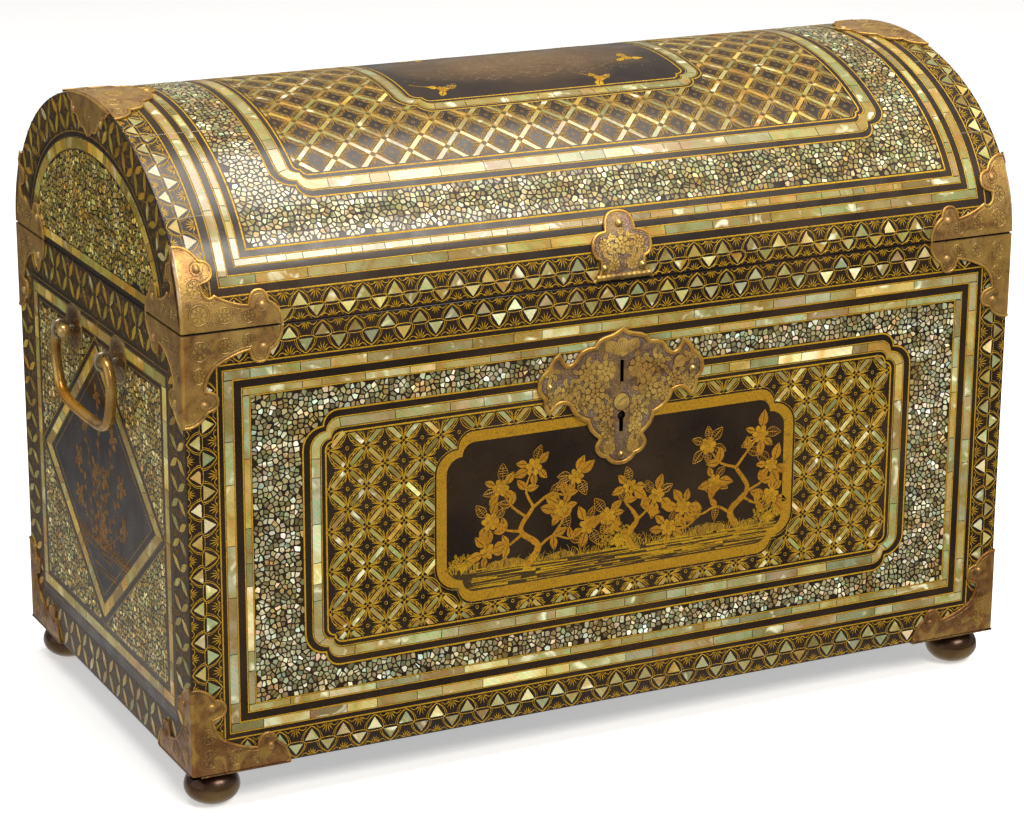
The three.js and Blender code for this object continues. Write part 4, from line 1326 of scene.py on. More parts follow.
def lattice_node(gold, node, shade):
    """Two pairs of lines that cross and leave a small black square between them."""
    for degrees in (45, 135):
        for side in (-BOW_ROOT, BOW_ROOT):
            gild(gold, turned_about([(-NODE_HALF, side), (NODE_HALF, side)], node, degrees), 0.7, shade)


def lattice_bar(shell, gold, start, end, inside, bar_length, shade):
    middle = midway(start, end)
    depth = inside(*middle)
    if depth < -4:
        return
    degrees = heading(start, end)
    half, side = bar_length / 2, BAR_WIDTH / 2
    if depth < WHOLE_BAR_DEPTH:
        bar = turned_about(corners_of((-half, -side, half, side)), middle, degrees)
        bar = trimmed(bar, middle, depth, inside, 0.6)
        if len(bar) > 2 and abs(area(bar)) > SMALLEST_BAR:
            shell.tile(bar, SHELL_HEIGHT, dimmed_nacre(shell, 0.07, LATTICE_DIM))
    else:
        stations = (-half, -half / 3, half / 3, half)
        left, right = (turned_about([(u, edge) for u in stations], middle, degrees) for edge in (side, -side))
        shell.chain(left, right, SHELL_HEIGHT, dimmed_nacre(shell, 0.07, LATTICE_DIM))
    reach = math.dist(start, end) / 2 - 1.4
    stations = np.linspace(-reach, reach, 9)
    for bulge in BOWS:
        for side in (-1, 1):
            bow = [(u, side * (BOW_ROOT + (bulge - BOW_ROOT) * (1 - (u / reach) ** 2))) for u in stations]
            bow = [point for point in turned_about(bow, middle, degrees) if inside(*point) > 0.3]
            if len(bow) > 2:
                gild(gold, bow, 0.75, shade)


def lattice_cell(gold, centre, half, inside, shade):
    """Four sprays that point inward from a cell's corners, round a small ring."""
    for du, dv, degrees in ((-1, 0, 0), (1, 0, 180), (0, -1, 90), (0, 1, 270)):
        root = (centre[0] + du * (half[0] - CELL_REACH), centre[1] + dv * (half[1] - CELL_REACH))
        if inside(*root) > 1.0 and inside(*midway(root, centre)) > 2.0:
            for turn, length in ((-38, 6.2), (-15, 8.0), (15, 8.0), (38, 6.2)):
                middle = away(root, length / 2, degrees + turn)
                petal(gold, middle, degrees + turn, length, 0.75, gold_tint(gold.chance, shade), GOLD_HEIGHT)
            for hand in (-1, 1):
                place = away(root, 8.2, degrees + hand * 30)
                gild(gold, arc(place, (1.1, 1.1), degrees + 40 * hand, degrees + hand * 250, 6), 0.55, shade)
    if inside(*centre) > 3:
        gild(gold, circle(centre, 1.1, 12), 0.6, shade, closed=True)


# Plants in gold, made up for this chest


def leaf(gold, root, degrees, length, width, shade=GOLD, outlined=0.0):
    """A leaf in two halves with a dark midrib between them, or by chance only its outline and its veins."""
    tint = gold_tint(gold.chance, shade)
    base = gold.raised()
    is_outlined = gold.chance.random() < outlined
    for side in (-1, 1):
        rib, rim = [], []
        for i in range(8):
            share = i / 7
            swell = math.sin(math.pi * share ** 0.8) * width / 2
            rib.append((length * i / 7, side * 0.16))
            rim.append((length * share, side * (0.16 + swell)))
        rib, rim = turned_about(rib, root, degrees), turned_about(rim, root, degrees)
        if is_outlined:
            gold.line(rim, 0.6, tint, base=base)
            gold.line(rib[:-1], 0.4, tint, base=base)
            for i in (2, 3, 4, 5):
                gold.line([rib[i], blended(rib[i], rim[i], 0.8)], 0.4, tint, base=base)
        else:
            gold.chain(rib, rim, GOLD_HEIGHT, tint, base)


def blossom(gold, centre, radius, degrees, shade=GOLD_FLOWER):
    """An open flower: an outer ring of round petals with dark gaps, and an inner ring over it."""
    for count, reach, length, width in ((6, 0.6, 0.42, 0.34), (4, 0.2, 0.26, 0.22)):
        for k in range(count):
            turn = degrees + 360 * k / count + 15 * count
            place = away(centre, reach * radius, turn)
            outline = turned_about(arc((0, 0), (length * radius, width * radius), 0, 330, 11), place, turn)
            base = gold.raised()
            gold.tile(outline, GOLD_HEIGHT, gold_tint(gold.chance, shade), base)
            gold.line(outline, 0.4, linear(BLACK), GOLD_HEIGHT + 0.02, base, closed=True)


def cluster(gold, centre, radius, leaves, leaf_length, shade=GOLD_FLOWER, leaf_shade=GOLD_LEAF):
    """A flower with pointed leaves round it."""
    turn = gold.chance.uniform(0, 360)
    for k in range(leaves):
        degrees = turn + 360 * k / leaves + gold.chance.uniform(-16, 16)
        root = away(centre, 0.75 * radius, degrees)
        length = leaf_length * gold.chance.uniform(0.7, 1.15)
        leaf(gold, root, degrees + gold.chance.uniform(-28, 28), length, 0.58 * length, leaf_shade, 0.25)
    blossom(gold, centre, radius, turn, shade)


def stalk(gold, path, thick, thin, shade=GOLD):
    """A stem that tapers along its path."""
    left, right = [], []
    for i, (u, v) in enumerate(path):
        nu, nv = leftward(path, i)
        half = (thick + (thin - thick) * i / (len(path) - 1)) / 2
        knot = half * (1 + 0.12 * math.sin(2.3 * i))
        left.append((u + nu * knot, v + nv * knot))
        right.append((u - nu * half, v - nv * half))
    gold.chain(left, right, GOLD_HEIGHT, gold_tint(gold.chance, shade), gold.raised(), chamfer=0.06)


def bough(gold, points, thick, thin, shade=GOLD):
    """A crooked branch through points, in round bends."""
    path = [(point.x, point.y) for point in smooth_curve([(u, v, 0) for u, v in points], 7)]
    stalk(gold, path, thick, thin, shade)


def spray(gold, root, degrees, length, bend, leaf_length, shade, thick):
    """A bending stem with nine leaves, on both sides by turns."""
    tip = away(root, length, degrees)
    handle = away(midway(root, tip), bend, degrees + 90)
    path = [root] + quadratic(root, handle, tip, 12)
    stalk(gold, path, thick, 0.4 * thick, shade)
    for k in range(9):
        place = 2 + round(k * 9 / 8)
        way = heading(path[place], path[min(place + 1, 12)])
        lean = (48 if k % 2 else -48) + gold.chance.uniform(-8, 8)
        size = leaf_length * gold.chance.uniform(0.8, 1.15)
        leaf(gold, path[place], way + lean, size, size * 0.42, shade)
    return path


def grass(gold, root, height, shade=GOLD):
    """A tuft of five blades."""
    for k in range(5):
        lean = 80 * (k / 4 - 0.5) + gold.chance.uniform(-5, 5)
        tall = height * gold.chance.uniform(0.5, 1.0)
        start = (root[0] - lean * 0.05, root[1] + gold.chance.uniform(-1.0, 0.5))
        handle = (start[0] + tall * 0.1 * math.cos(math.radians(90 + lean)), start[1] + tall * 0.7)
        stalk(gold, [start] + quadratic(start, handle, away(start, tall, 90 + lean), 5), 0.7, 0.2, shade)


def ground(gold, left, right, level, rows, drop, shade=GOLD):
    """Banks of level strokes that end in points and thin out downward."""
    for row in range(rows):
        at = left + gold.chance.uniform(0, 14)
        while at < right - 8:
            length = gold.chance.uniform(22, 75) * (1 - 0.4 * row / rows)
            end = min(at + length, right)
            v = level - drop * row + gold.chance.uniform(-0.5, 0.5)
            lift = gold.chance.uniform(-1.2, 1.2)
            path = quadratic((at, v), ((at + end) / 2, v + lift), (end, v), 8)
            if gold.chance.random() < 0.5:
                path.reverse()
            stalk(gold, path, gold.chance.uniform(0.6, 1.9), 0.2, shade)
            at = end - gold.chance.uniform(-12, 6) * (0.4 + row / rows)


def rock(gold, centre, width, height):
    """A low rock with a rough top and dark clefts."""
    chance = gold.chance
    base = gold.raised()
    top = []
    for i in range(15):
        share = i / 14
        rise = height * math.sin(math.pi * share) ** 0.6 * chance.uniform(0.72, 1.05)
        top.append((centre[0] + width * (share - 0.5), centre[1] + rise))
    gold.tile(top, GOLD_HEIGHT, gold_tint(chance, GOLD_DIM), base)
    for i in range(2, 13, 2):
        foot = (top[i][0] + chance.uniform(-3, 3), centre[1] + 0.15 * height)
        cleft = [blended(foot, top[i], 0.1), blended(foot, top[i], 0.75)]
        gold.line(cleft, 0.5, linear(BLACK), base=base + GOLD_HEIGHT)


def fern(gold, root, reach, fronds):
    """A bush of small feathery fronds."""
    for k in range(fronds):
        lean = 150 * (k / (fronds - 1) - 0.5)
        length = reach * gold.chance.uniform(0.75, 1.0)
        spray(gold, root, 90 + lean, length, -0.12 * lean, 3.6, GOLD, 0.7)


# The front

FRONT_BORDER = TriangleBorder(outer=(10.6, 2.9), inner=(12.3, 21), width=11, pitch=24, limit=23.4)
FRAME_STEPS = (15.3, 10.7)
FRONT_FRAME = Frame((85, 65.3, WIDTH - 85, HEIGHT - 65.3), FRAME_STEPS)
CARTOUCHE = Frame((WIDTH / 2 - 145, 95, WIDTH / 2 + 145, 222), (17, 12))
# A gold line or a shell strip is given as how far in it lies and its width
FRONT_LINES = ((23.8, 1.5), (27.8, 1.2), (35.1, 1.5), (41.4, 1.2), (47.2, 1.2))
FRONT_FRAME_LINES = ((0, 1.7), (5.5, 1.1), (13.3, 1.1), (16.8, 1.7))
# A frame's shell strip: where it starts and ends, then its shortest and longest piece
FRONT_FRAME_STRIP = (6.2, 12.5, 12, 46)
FRONT_GROUND = 47.6
FRONT_SKIP = 40
FRONT_STRIP = (28.4, 6.1)
INNER_STRIP = (42, 4.6)
TRELLIS_INSET = 17.6
LOCK_HOLES = (((-5, SEAM - 77), (5, SEAM - 54)), ((-6.5, SEAM - 114), (6.5, SEAM - 92)))
SHELL_LONG = (14, 52)
SHELL_MIDDLING = (9, 34)
SHELL_SHORT = (7, 26)


def band_lines(gold, rings):
    """Gold rectangles, each given as how far in it lies and its width."""
    for inset, width in rings:
        gild(gold, corners_of(inset_box(gold.panel.box, inset)), width, closed=True)


def finish_layers(panel, shell, gold, holes=()):
    nacre = NACRE_SHELL if panel.lean[3] == 1.0 else DULL_SHELL
    for layer, kind, material in ((shell, "shell", nacre), (gold, "gold", GOLD_LACQUER)):
        piece = layer.made(f"{panel.name}_{kind}", material)
        for low, high in holes:
            cut_away(piece, low, high)
        shown(piece, panel.body, kind)


def cut_away(piece, low, high):
    """Cuts the part of a thin layer away that lies between two corners, given as x and z."""
    sheet = bmesh.new()
    sheet.from_mesh(piece.data)
    for corner in (low, high):
        for axis, value in zip((0, 2), corner):
            place, normal = Vector((0, 0, 0)), Vector((0, 0, 0))
            place[axis], normal[axis] = value * MM, 1
            reached = [face for face in sheet.faces if lies_near(face, low, high)]
            edges = {edge for face in reached for edge in face.edges}
            vertices = {vertex for face in reached for vertex in face.verts}
            bmesh.ops.bisect_plane(sheet, geom=[*vertices, *edges, *reached], plane_co=place, plane_no=normal)
    inside = [face for face in sheet.faces if lies_inside(face, low, high)]
    bmesh.ops.delete(sheet, geom=inside, context="FACES")
    sheet.to_mesh(piece.data)
    sheet.free()


def lies_near(face, low, high):
    xs = [vertex.co.x / MM for vertex in face.verts]
    zs = [vertex.co.z / MM for vertex in face.verts]
    return max(xs) > low[0] and min(xs) < high[0] and max(zs) > low[1] and min(zs) < high[1]


def lies_inside(face, low, high):
    centre = face.calc_center_median() / MM
    return low[0] < centre.x < high[0] and low[1] < centre.z < high[1]


def framed_trellis(shell, gold, ground_inset, frame, lines, strip, field, window, gap, first, bar, shade):
    """A shell mosaic round an indented frame of shell and gold, and in it a trellis round a window."""
    ground_box = inset_box(shell.panel.box, ground_inset)

    def in_mosaic(u, v):
        return min(inside_rectangle(u, v, ground_box), -frame.inside(u, v) - 0.5)

    def in_lattice(u, v):
        return min(field.inside(u, v), -window.inside(u, v) - gap)

    mosaic(shell, ground_box, in_mosaic)
    frame.lines(gold, lines)
    shell_band(shell, *frame.band(*strip[:2]), *strip[2:])
    lattice(shell, gold, field.box, first, in_lattice, bar, shade)


def decorate_front():
    panel = FRONT_PANEL
    shell, gold = Layer(panel, 11), Layer(panel, 12)
    FRONT_BORDER.lay(shell, gold, FRONT_SKIP)
    band_lines(gold, FRONT_LINES)
    for inset, width in (FRONT_STRIP, INNER_STRIP):
        shell_rectangle(shell, inset_box(panel.box, inset), width, *SHELL_LONG)
    field = Frame(inset_box(FRONT_FRAME.box, TRELLIS_INSET), (5, 5.5))
    first = (WIDTH / 2 - 8.5 * LATTICE_PITCH[0], HEIGHT - 79.5 - 6 * LATTICE_PITCH[1])
    framed_trellis(shell, gold, FRONT_GROUND, FRONT_FRAME, FRONT_FRAME_LINES, FRONT_FRAME_STRIP,
                   field, CARTOUCHE, 0.5, first, FRONT_BAR, GOLD)
    cartouche(gold)
    finish_layers(panel, shell, gold, LOCK_HOLES)


SHORE_STEPS = 24
TUFTS = 34

# The trees on the front are placed from the panel's lower left corner: a trunk, then its boughs
TREES = (
    ([(70, 19), (80, 34), (66, 48), (76, 64)], (
        [(79, 32), (92, 40), (106, 36), (120, 44)],
        [(67, 47), (54, 50), (42, 58)],
        [(76, 64), (70, 78), (76, 94)],
        [(76, 64), (90, 72), (102, 70), (110, 82)],
        [(69, 46), (56, 38), (40, 36)],
        [(72, 56), (58, 68), (50, 82)],
        [(92, 40), (100, 52), (98, 60)],
    )),
    ([(248, 19), (238, 36), (252, 52), (242, 70)], (
        [(240, 34), (226, 42), (212, 38), (198, 46)],
        [(251, 50), (264, 56), (272, 68)],
        [(242, 70), (228, 76), (218, 90)],
        [(242, 70), (252, 82), (262, 93)],
        [(226, 42), (220, 54), (224, 62)],
        [(249, 46), (260, 40), (272, 44)],
        [(212, 38), (200, 30), (186, 32)],
    )),
    ([(158, 19), (152, 30), (160, 42), (156, 50)], (
        [(153, 32), (143, 38), (136, 48)],
        [(159, 41), (168, 48), (176, 58)],
        [(156, 50), (150, 58), (154, 68)],
    )),
)


def cartouche(gold):
    """A gold band round a black panel, where flowering trees grow on the bank of a stream."""
    gold.chain(*CARTOUCHE.band(0, 8), GOLD_HEIGHT, linear(GOLD_BAND))
    CARTOUCHE.lines(gold, ((-1.6, 0.5),))
    left, low, right, _ = CARTOUCHE.box
    stream_bank(gold, left + 12, right - 12, low + 23)
    for trunk, boughs in TREES:
        bough(gold, [(left + u, low + v) for u, v in trunk], 6.2, 2.8, GOLD_LEAF)
        for path in boughs:
            path = [(left + u, low + v) for u, v in path]
            bough(gold, path, 2.4, 1.0, GOLD_LEAF)
            for here, onward in zip(path[1:], path[2:]):
                for side in (-1, 1):
                    length = gold.chance.uniform(9, 13)
                    way = heading(here, onward) + side * gold.chance.uniform(35, 70)
                    leaf(gold, here, way, length, 0.52 * length, GOLD_LEAF, 0.25)
            cluster(gold, path[-1], gold.chance.uniform(5.5, 7.5), 6, 12)


def stream_bank(gold, left, right, level):
    """A bank of gold strokes over dark gold, with rocks, grass and ferns along it."""
    width = right - left
    shore = [(left, level - 11)]
    for i in range(SHORE_STEPS + 1):
        share = i / SHORE_STEPS
        swell = 2.5 * math.sin(9 * share) + 1.5 * math.sin(23 * share)
        shore.append((left + width * share, level + 1 + swell))
    shore += [(right, level - 11), (right - 8, level - 15.5), (left + 8, level - 15.5)]
    gold.tile(shore, 0.02, linear(DUST))
    ground(gold, left, right, level, 9, 1.7)
    ground(gold, left + 0.55 * width, right, level - 0.8, 7, 1.7)
    for share, wide, high in ((0.16, 34, 8), (0.32, 26, 6), (0.78, 38, 9), (0.9, 24, 6)):
        rock(gold, (left + share * width, level - 1), wide, high)
    for k in range(TUFTS):
        root = (left + 3 + (width - 6) * (k + gold.chance.uniform(-0.3, 0.3)) / TUFTS, level - 0.5)
        grass(gold, root, gold.chance.uniform(5, 11))
    for share, reach, fronds in ((0.5, 20, 9), (0.97, 17, 7), (0.03, 15, 7)):
        fern(gold, (left + share * width, level - 1), reach, fronds)


# The two sides

SIDE_STRIP = (34, 40, DEPTH - 34, HEIGHT - 37.5)
SIDE_STRIP_WIDTH = 7.4
SIDE_GROUND = (46, 52, DEPTH - 46, HEIGHT - 50)
RHOMB = [(50, 158), (172, 57), (300, 158), (172, 264)]
RHOMB_STRIP = 7.6
RHOMB_RIM = 5.2
SIDE_LINES = ((-4.2, 0.9), (-0.7, 0.5), (8.1, 0.5), (11.6, 0.9))
RHOMB_LINES = ((-RHOMB_RIM, 1.0), (-0.6, 0.4), (RHOMB_STRIP + 0.6, 0.4), (13.5, 0.6))
SIDE_PETALS = (36, (8.5, 22), 14.6)
BUSH = ((92, 116), (112, 96), (132, 78), (152, 62), (72, 98), (52, 78), (30, 62), (102, 60), (80, 58))


def decorate_side(panel, seed):
    shell, gold = Layer(panel, seed), Layer(panel, seed + 1)
    for length, track in edge_tracks(panel.width, panel.height):
        petal_border(shell, gold, length, track, *SIDE_PETALS)
    shell_rectangle(shell, SIDE_STRIP, SIDE_STRIP_WIDTH, *SHELL_MIDDLING)
    for inset, width in SIDE_LINES:
        gild(gold, corners_of(inset_box(SIDE_STRIP, inset)), width, GOLD_DIM, closed=True)
    outer_rhomb = moved_in(RHOMB, -RHOMB_RIM)

    def in_mosaic(u, v):
        return min(inside_rectangle(u, v, SIDE_GROUND), -inside_polygon(u, v, outer_rhomb) - 0.6)

    mosaic(shell, SIDE_GROUND, in_mosaic)
    inner_rhomb = moved_in(RHOMB, RHOMB_STRIP)
    for i in range(4):
        j = (i + 1) % 4
        shell_band(shell, [RHOMB[i], RHOMB[j]], [inner_rhomb[i], inner_rhomb[j]], 9, 30)
    for depth, width in RHOMB_LINES:
        gild(gold, moved_in(RHOMB, depth), width, closed=True)
    side_plants(gold)
    finish_layers(panel, shell, gold)


def side_plants(gold):
    """A flowering bush on a bank, in the rhomb."""
    ground(gold, 112, 236, 112, 4, 2.6, GOLD_FADED)
    ground(gold, 146, 204, 96, 3, 2.6, GOLD_FADED)
    for turn, length in BUSH:
        lean = 0.1 * (turn - 90)
        path = spray(gold, (174 + lean, 110), turn, length, lean, 7.5, GOLD_FADED, 1.1)
        cluster(gold, path[-1], 4.6, 5, 7, GOLD_FADED, GOLD_FADED)
    for across in range(122, 234, 9):
        grass(gold, (across, 111), 11, GOLD_FADED)


# The back, which is plainer: a border and a running vine

BACK_LINES = ((23.9, 1.1), (27.9, 0.5), (35.1, 1.0), (41.3, 1.0))
BACK_MARGIN = 66
BACK_VINES = ((110, 30), (207, -30))
VINE_TURNS = 5
VINE_STEPS = 26
SHOOT_STEPS = 22
SHOOT_TURN = 18


def decorate_back():
    panel = BACK_PANEL
    shell, gold = Layer(panel, 31), Layer(panel, 32)
    FRONT_BORDER.lay(shell, gold, FRONT_SKIP)
    band_lines(gold, BACK_LINES)
    shell_rectangle(shell, inset_box(panel.box, FRONT_STRIP[0]), FRONT_STRIP[1], *SHELL_LONG)
    for level, swing in BACK_VINES:
        vine(gold, BACK_MARGIN, WIDTH - BACK_MARGIN, level, swing)
    finish_layers(panel, shell, gold)


def vine(gold, left, right, level, swing):
    """A running vine: a wave with a curled shoot, a flower and leaves in each of its bends."""
    steps = VINE_STEPS * VINE_TURNS
    wave = []
    for i in range(steps + 1):
        share = i / steps
        phase = 2 * math.pi * VINE_TURNS * share
        wave.append((left + (right - left) * share, level + swing * math.sin(phase)))
    gild(gold, wave, 1.5)
    bend = (right - left) / VINE_TURNS / 2
    for k in range(2 * VINE_TURNS):
        side = 1 if (k % 2 == 0) == (swing > 0) else -1
        centre = (left + bend * (k + 0.5), level + side * 2)
        shoot = []
        for i in range(SHOOT_STEPS):
            turn = -side * (SHOOT_TURN * i + 90)
            shoot.append(away(centre, abs(swing) * 0.74 * (1 - i / 30), turn))
        gild(gold, shoot, 1.0)
        blossom(gold, centre, 8.5, gold.chance.uniform(0, 60), GOLD)
        for i in range(2, 20, 3):
            size = 7.5 - 0.14 * i
            leaf(gold, shoot[i], heading(shoot[i - 1], shoot[i]) + side * 50, size, size * 0.45)


# The dome of the lid

DOME_BORDER = TriangleBorder(outer=(9.4, 1.9), inner=(10.6, 19.4), width=11.3, pitch=23.6, limit=21.6)
DOME_FRAME = Frame((84.9, 84.9, WIDTH - 84.9, ARCH - 84.9), FRAME_STEPS)
DOME_WINDOW = Frame((WIDTH / 2 - 124.5, 155.5, WIDTH / 2 + 124.5, ARCH - 155.5), (13, 10), (0.4, 0.3))
DOME_LINES = ((22, 1.6), (28.4, 1.2), (35.5, 1.3), (41.2, 1.1), (46.5, 1.2), (52, 1.8))
DOME_FRAME_LINES = ((0, 1.6), (5.4, 1.1), (14.6, 1.1), (18.6, 1.6))
DOME_FRAME_STRIP = (6.1, 13.9, 10, 40)
DOME_GROUND = 53
DOME_SKIP = 38
DOME_INSET = 19.4
WINDOW_LINES = ((0, 1.5), (2.6, 0.8), (10.6, 0.8), (14.0, 1.6))
WINDOW_STRIP = (3.2, 9.8)
HILL_STROKES = 600
HILL_REACH = 150
HILL_FOOT = 46
HILL_HEIGHT = 66
WINDOW_FLOWERS = (((248, 186), -22), ((300, 300), 14), ((372, 180), -12), ((412, 214), 2),
                  ((266, 276), 34), ((396, 292), 24))


def decorate_dome():
    panel = DOME
    shell, gold = Layer(panel, 41), Layer(panel, 42)
    DOME_BORDER.lay(shell, gold, DOME_SKIP)
    band_lines(gold, DOME_LINES)
    shell_rectangle(shell, inset_box(panel.box, 29), 6, *SHELL_LONG)
    shell_rectangle(shell, inset_box(panel.box, 41.7), 4.3, *SHELL_SHORT)
    field = Frame(inset_box(DOME_FRAME.box, DOME_INSET), (4.5, 5.5))
    first = (WIDTH / 2 - 8 * LATTICE_PITCH[0] - 9.7, ARCH / 2 - 4.5 * LATTICE_PITCH[1] - 5.2)
    framed_trellis(shell, gold, DOME_GROUND, DOME_FRAME, DOME_FRAME_LINES, DOME_FRAME_STRIP,
                   field, DOME_WINDOW, 0.6, first, DOME_BAR, GOLD_DIM)
    DOME_WINDOW.lines(gold, WINDOW_LINES)
    shell_band(shell, *DOME_WINDOW.band(*WINDOW_STRIP), *SHELL_MIDDLING)
    dome_picture(gold)
    age_cracks(gold)
    finish_layers(panel, shell, gold)


def age_cracks(gold):
    """Pale hairlines over the joints of the staves, near both ends of the lid."""
    chance = gold.chance
    for k in range(1, STAVES):
        for side in (-1, 1):
            level = ARCH * k / STAVES
            length = chance.uniform(25, 75)
            path = []
            for i in range(9):
                u = WIDTH / 2 + side * (WIDTH / 2 - 2 - length * i / 8)
                path.append((u, level + chance.uniform(-0.25, 0.25)))
            gold.line(path, 0.45, linear(CRACK), 0.05, SHELL_HEIGHT + LIFT_RANGE)


def dome_picture(gold):
    """A faded hill of gold dust with loose leaves and flowers round it, in the dome's window."""
    chance = gold.chance
    for _ in range(HILL_STROKES):
        spread = chance.gauss(0, 0.33)
        rise = chance.random()
        u = WIDTH / 2 + spread * HILL_REACH * (1 - 0.6 * rise)
        v = ARCH / 2 - HILL_FOOT + rise * HILL_HEIGHT
        if abs(spread) > 0.8 or DOME_WINDOW.inside(u, v) < 20:
            continue
        length = chance.uniform(1, 4)
        stroke = [(u - length / 2, v), (u + length / 2, v + chance.uniform(-0.5, 0.5))]
        gold.line(stroke, chance.uniform(0.4, 0.9), gold_tint(chance, HAZE))
    for centre, across in WINDOW_FLOWERS:
        cluster(gold, centre, 4.6, 3, 11, GOLD_FLOWER, GOLD)
        stalk(gold, [centre, (centre[0] + across, centre[1] + 12)], 0.9, 0.4)


# The ends of the lid

END_ARCH = (137, 95)
END_SHELL = 8
END_STRIP = (62, 3.7, DEPTH - 50, 10)
END_LINES = ((4.5, 1.2), (0.6, 0.4), (-END_SHELL - 0.5, 0.4))
END_PETALS = (46, (7.5, 19.5), 14.4)
END_STEPS = 60


def decorate_end(panel, seed):
    shell, gold = Layer(panel, seed), Layer(panel, seed + 1)
    centre = (DEPTH / 2, 0)

    def track(along, inset):
        angle = float(np.interp(along, ARCH_LENGTHS, ARCH_ANGLES))
        y, z = arch_points(np.array([angle]), -inset)
        return (float(y[0]) - FRONT, float(z[0]) - LID_BOTTOM)

    petal_border(shell, gold, ARCH, track, *END_PETALS)
    start = math.degrees(math.asin(10 / END_ARCH[1]))

    def arch_line(outward):
        return arc(centre, (END_ARCH[0] + outward, END_ARCH[1] + outward), start, 180 - start, END_STEPS)

    shell_band(shell, arch_line(0), arch_line(-END_SHELL), 6, 15)
    for outward, width in END_LINES:
        gild(gold, arch_line(outward), width, GOLD_DIM)
    left, low, right, high = END_STRIP
    shell_band(shell, [(left, low), (right, low)], [(left, high), (right, high)], 12, 40)
    radii = (END_ARCH[0] - END_SHELL - 0.8, END_ARCH[1] - END_SHELL - 0.8)

    def in_mosaic(u, v):
        return min(inside_ellipse(u, v, centre, radii), v - high - 0.6)

    mosaic(shell, (centre[0] - radii[0], high, centre[0] + radii[0], radii[1]), in_mosaic)
    finish_layers(panel, shell, gold)


# Corner mounts

LOBE_WIDTH = 25
LOBE_DEPTH = 25
NOTCH_DEPTH = 15.5
CUSP_DEPTH = 24
ARM_ALONG = 72
ARM_ACROSS = 67
ARM_UP = 65
LID_ARM_UP = 56
STUD_INSET = 15
STUD_DEPTH = 14
STUD_RADIUS = 2.8
STUD_HEIGHT = 1.8
CORNER_RADIUS = 2.0
BEAD_WIDTH = 1.8
BEAD_HEIGHT = 0.6
SEAM_CLEARANCE = 0.6
MOUNT_GRID = 6.0
CURL_STEPS = 22
CURL_TURN = 576
LIP = 5.0
CORNERS = (("front_left", False, False), ("front_right", True, False),
           ("back_left", False, True), ("back_right", True, True))
SIDES = (("left", False), ("right", True))
METAL = Panel("metal", as_it_is, 0, 0, "chest")
MOUNT_ROSETTES = ((12, 12, 7.5), (30, 10, 6.0), (11, 29, 6.0), (47, 8, 5.0), (9, 44, 4.6))
MOUNT_CURLS = ((22, 19, 3.6), (38, 12, 2.6), (56, 6, 2.8), (15, 38, 2.6), (7, 54, 2.4), (20, 6, 2.4),
               (5, 20, 2.4))


def arm_outline(arm):
    """One lobed arm of a corner mount, from its tip to the cusp on the diagonal."""
    return curved_outline((arm, 0), (
        ((arm, 2), (arm, 4)),
        ((arm - 2, 13), (arm - 9.5, 17)),
        ((arm - 10.5, LOBE_DEPTH), (arm - 17, LOBE_DEPTH)),
        ((arm - LOBE_WIDTH + 1, LOBE_DEPTH), (arm - LOBE_WIDTH, NOTCH_DEPTH)),
        ((arm - LOBE_WIDTH - 12, NOTCH_DEPTH + 2), (CUSP_DEPTH, CUSP_DEPTH)),
    ), 7)


def mount_edge(along, up):
    """The free, lobed edge of a mount's face, from one arm's tip to the other's."""
    upright = [(v, u) for u, v in arm_outline(up)][::-1]
    return arm_outline(along) + upright[1:]


def narrowed(path, distance):
    """A line moved to its left."""
    moved = []
    for i, (u, v) in enumerate(path):
        nu, nv = leftward(path, i)
        moved.append((u + nu * distance, v + nv * distance))
    return moved


def engrave(layer, path, width, base, height=0.06, closed=False):
    layer.line(path, width, linear(ENGRAVED), height, base, closed)


def rosette(layer, centre, radius, base):
    """An engraved rosette: fine double rings round petals."""
    dark, bright = linear(ENGRAVED), burnished(COPPER_GOLD)
    for share, shade in ((1.0, dark), (0.9, bright), (0.8, dark), (0.26, dark)):
        layer.line(circle(centre, radius * share, 24), 0.45, shade, 0.08, base, closed=True)
    for turn in range(0, 360, 45):
        place = away(centre, radius * 0.57, turn)
        engraved_petal(layer, place, turn, radius * 0.5, radius * 0.34, base, bright)


def engraved_petal(layer, place, degrees, length, width, base, tint):
    """A gilt petal with a dark engraved edge."""
    petal(layer, place, degrees, length + 0.7, width + 0.6, linear(ENGRAVED), 0.04, base)
    petal(layer, place, degrees, length, width, tint, 0.12, base)


def curl(layer, centre, radius, degrees, base):
    """An engraved spiral of a little more than one and a half turns."""
    path = []
    for i in range(CURL_STEPS + 1):
        share = i / CURL_STEPS
        path.append(away(centre, radius * (1 - 0.85 * share), degrees + CURL_TURN * share))
    engrave(layer, path, 0.4, base)


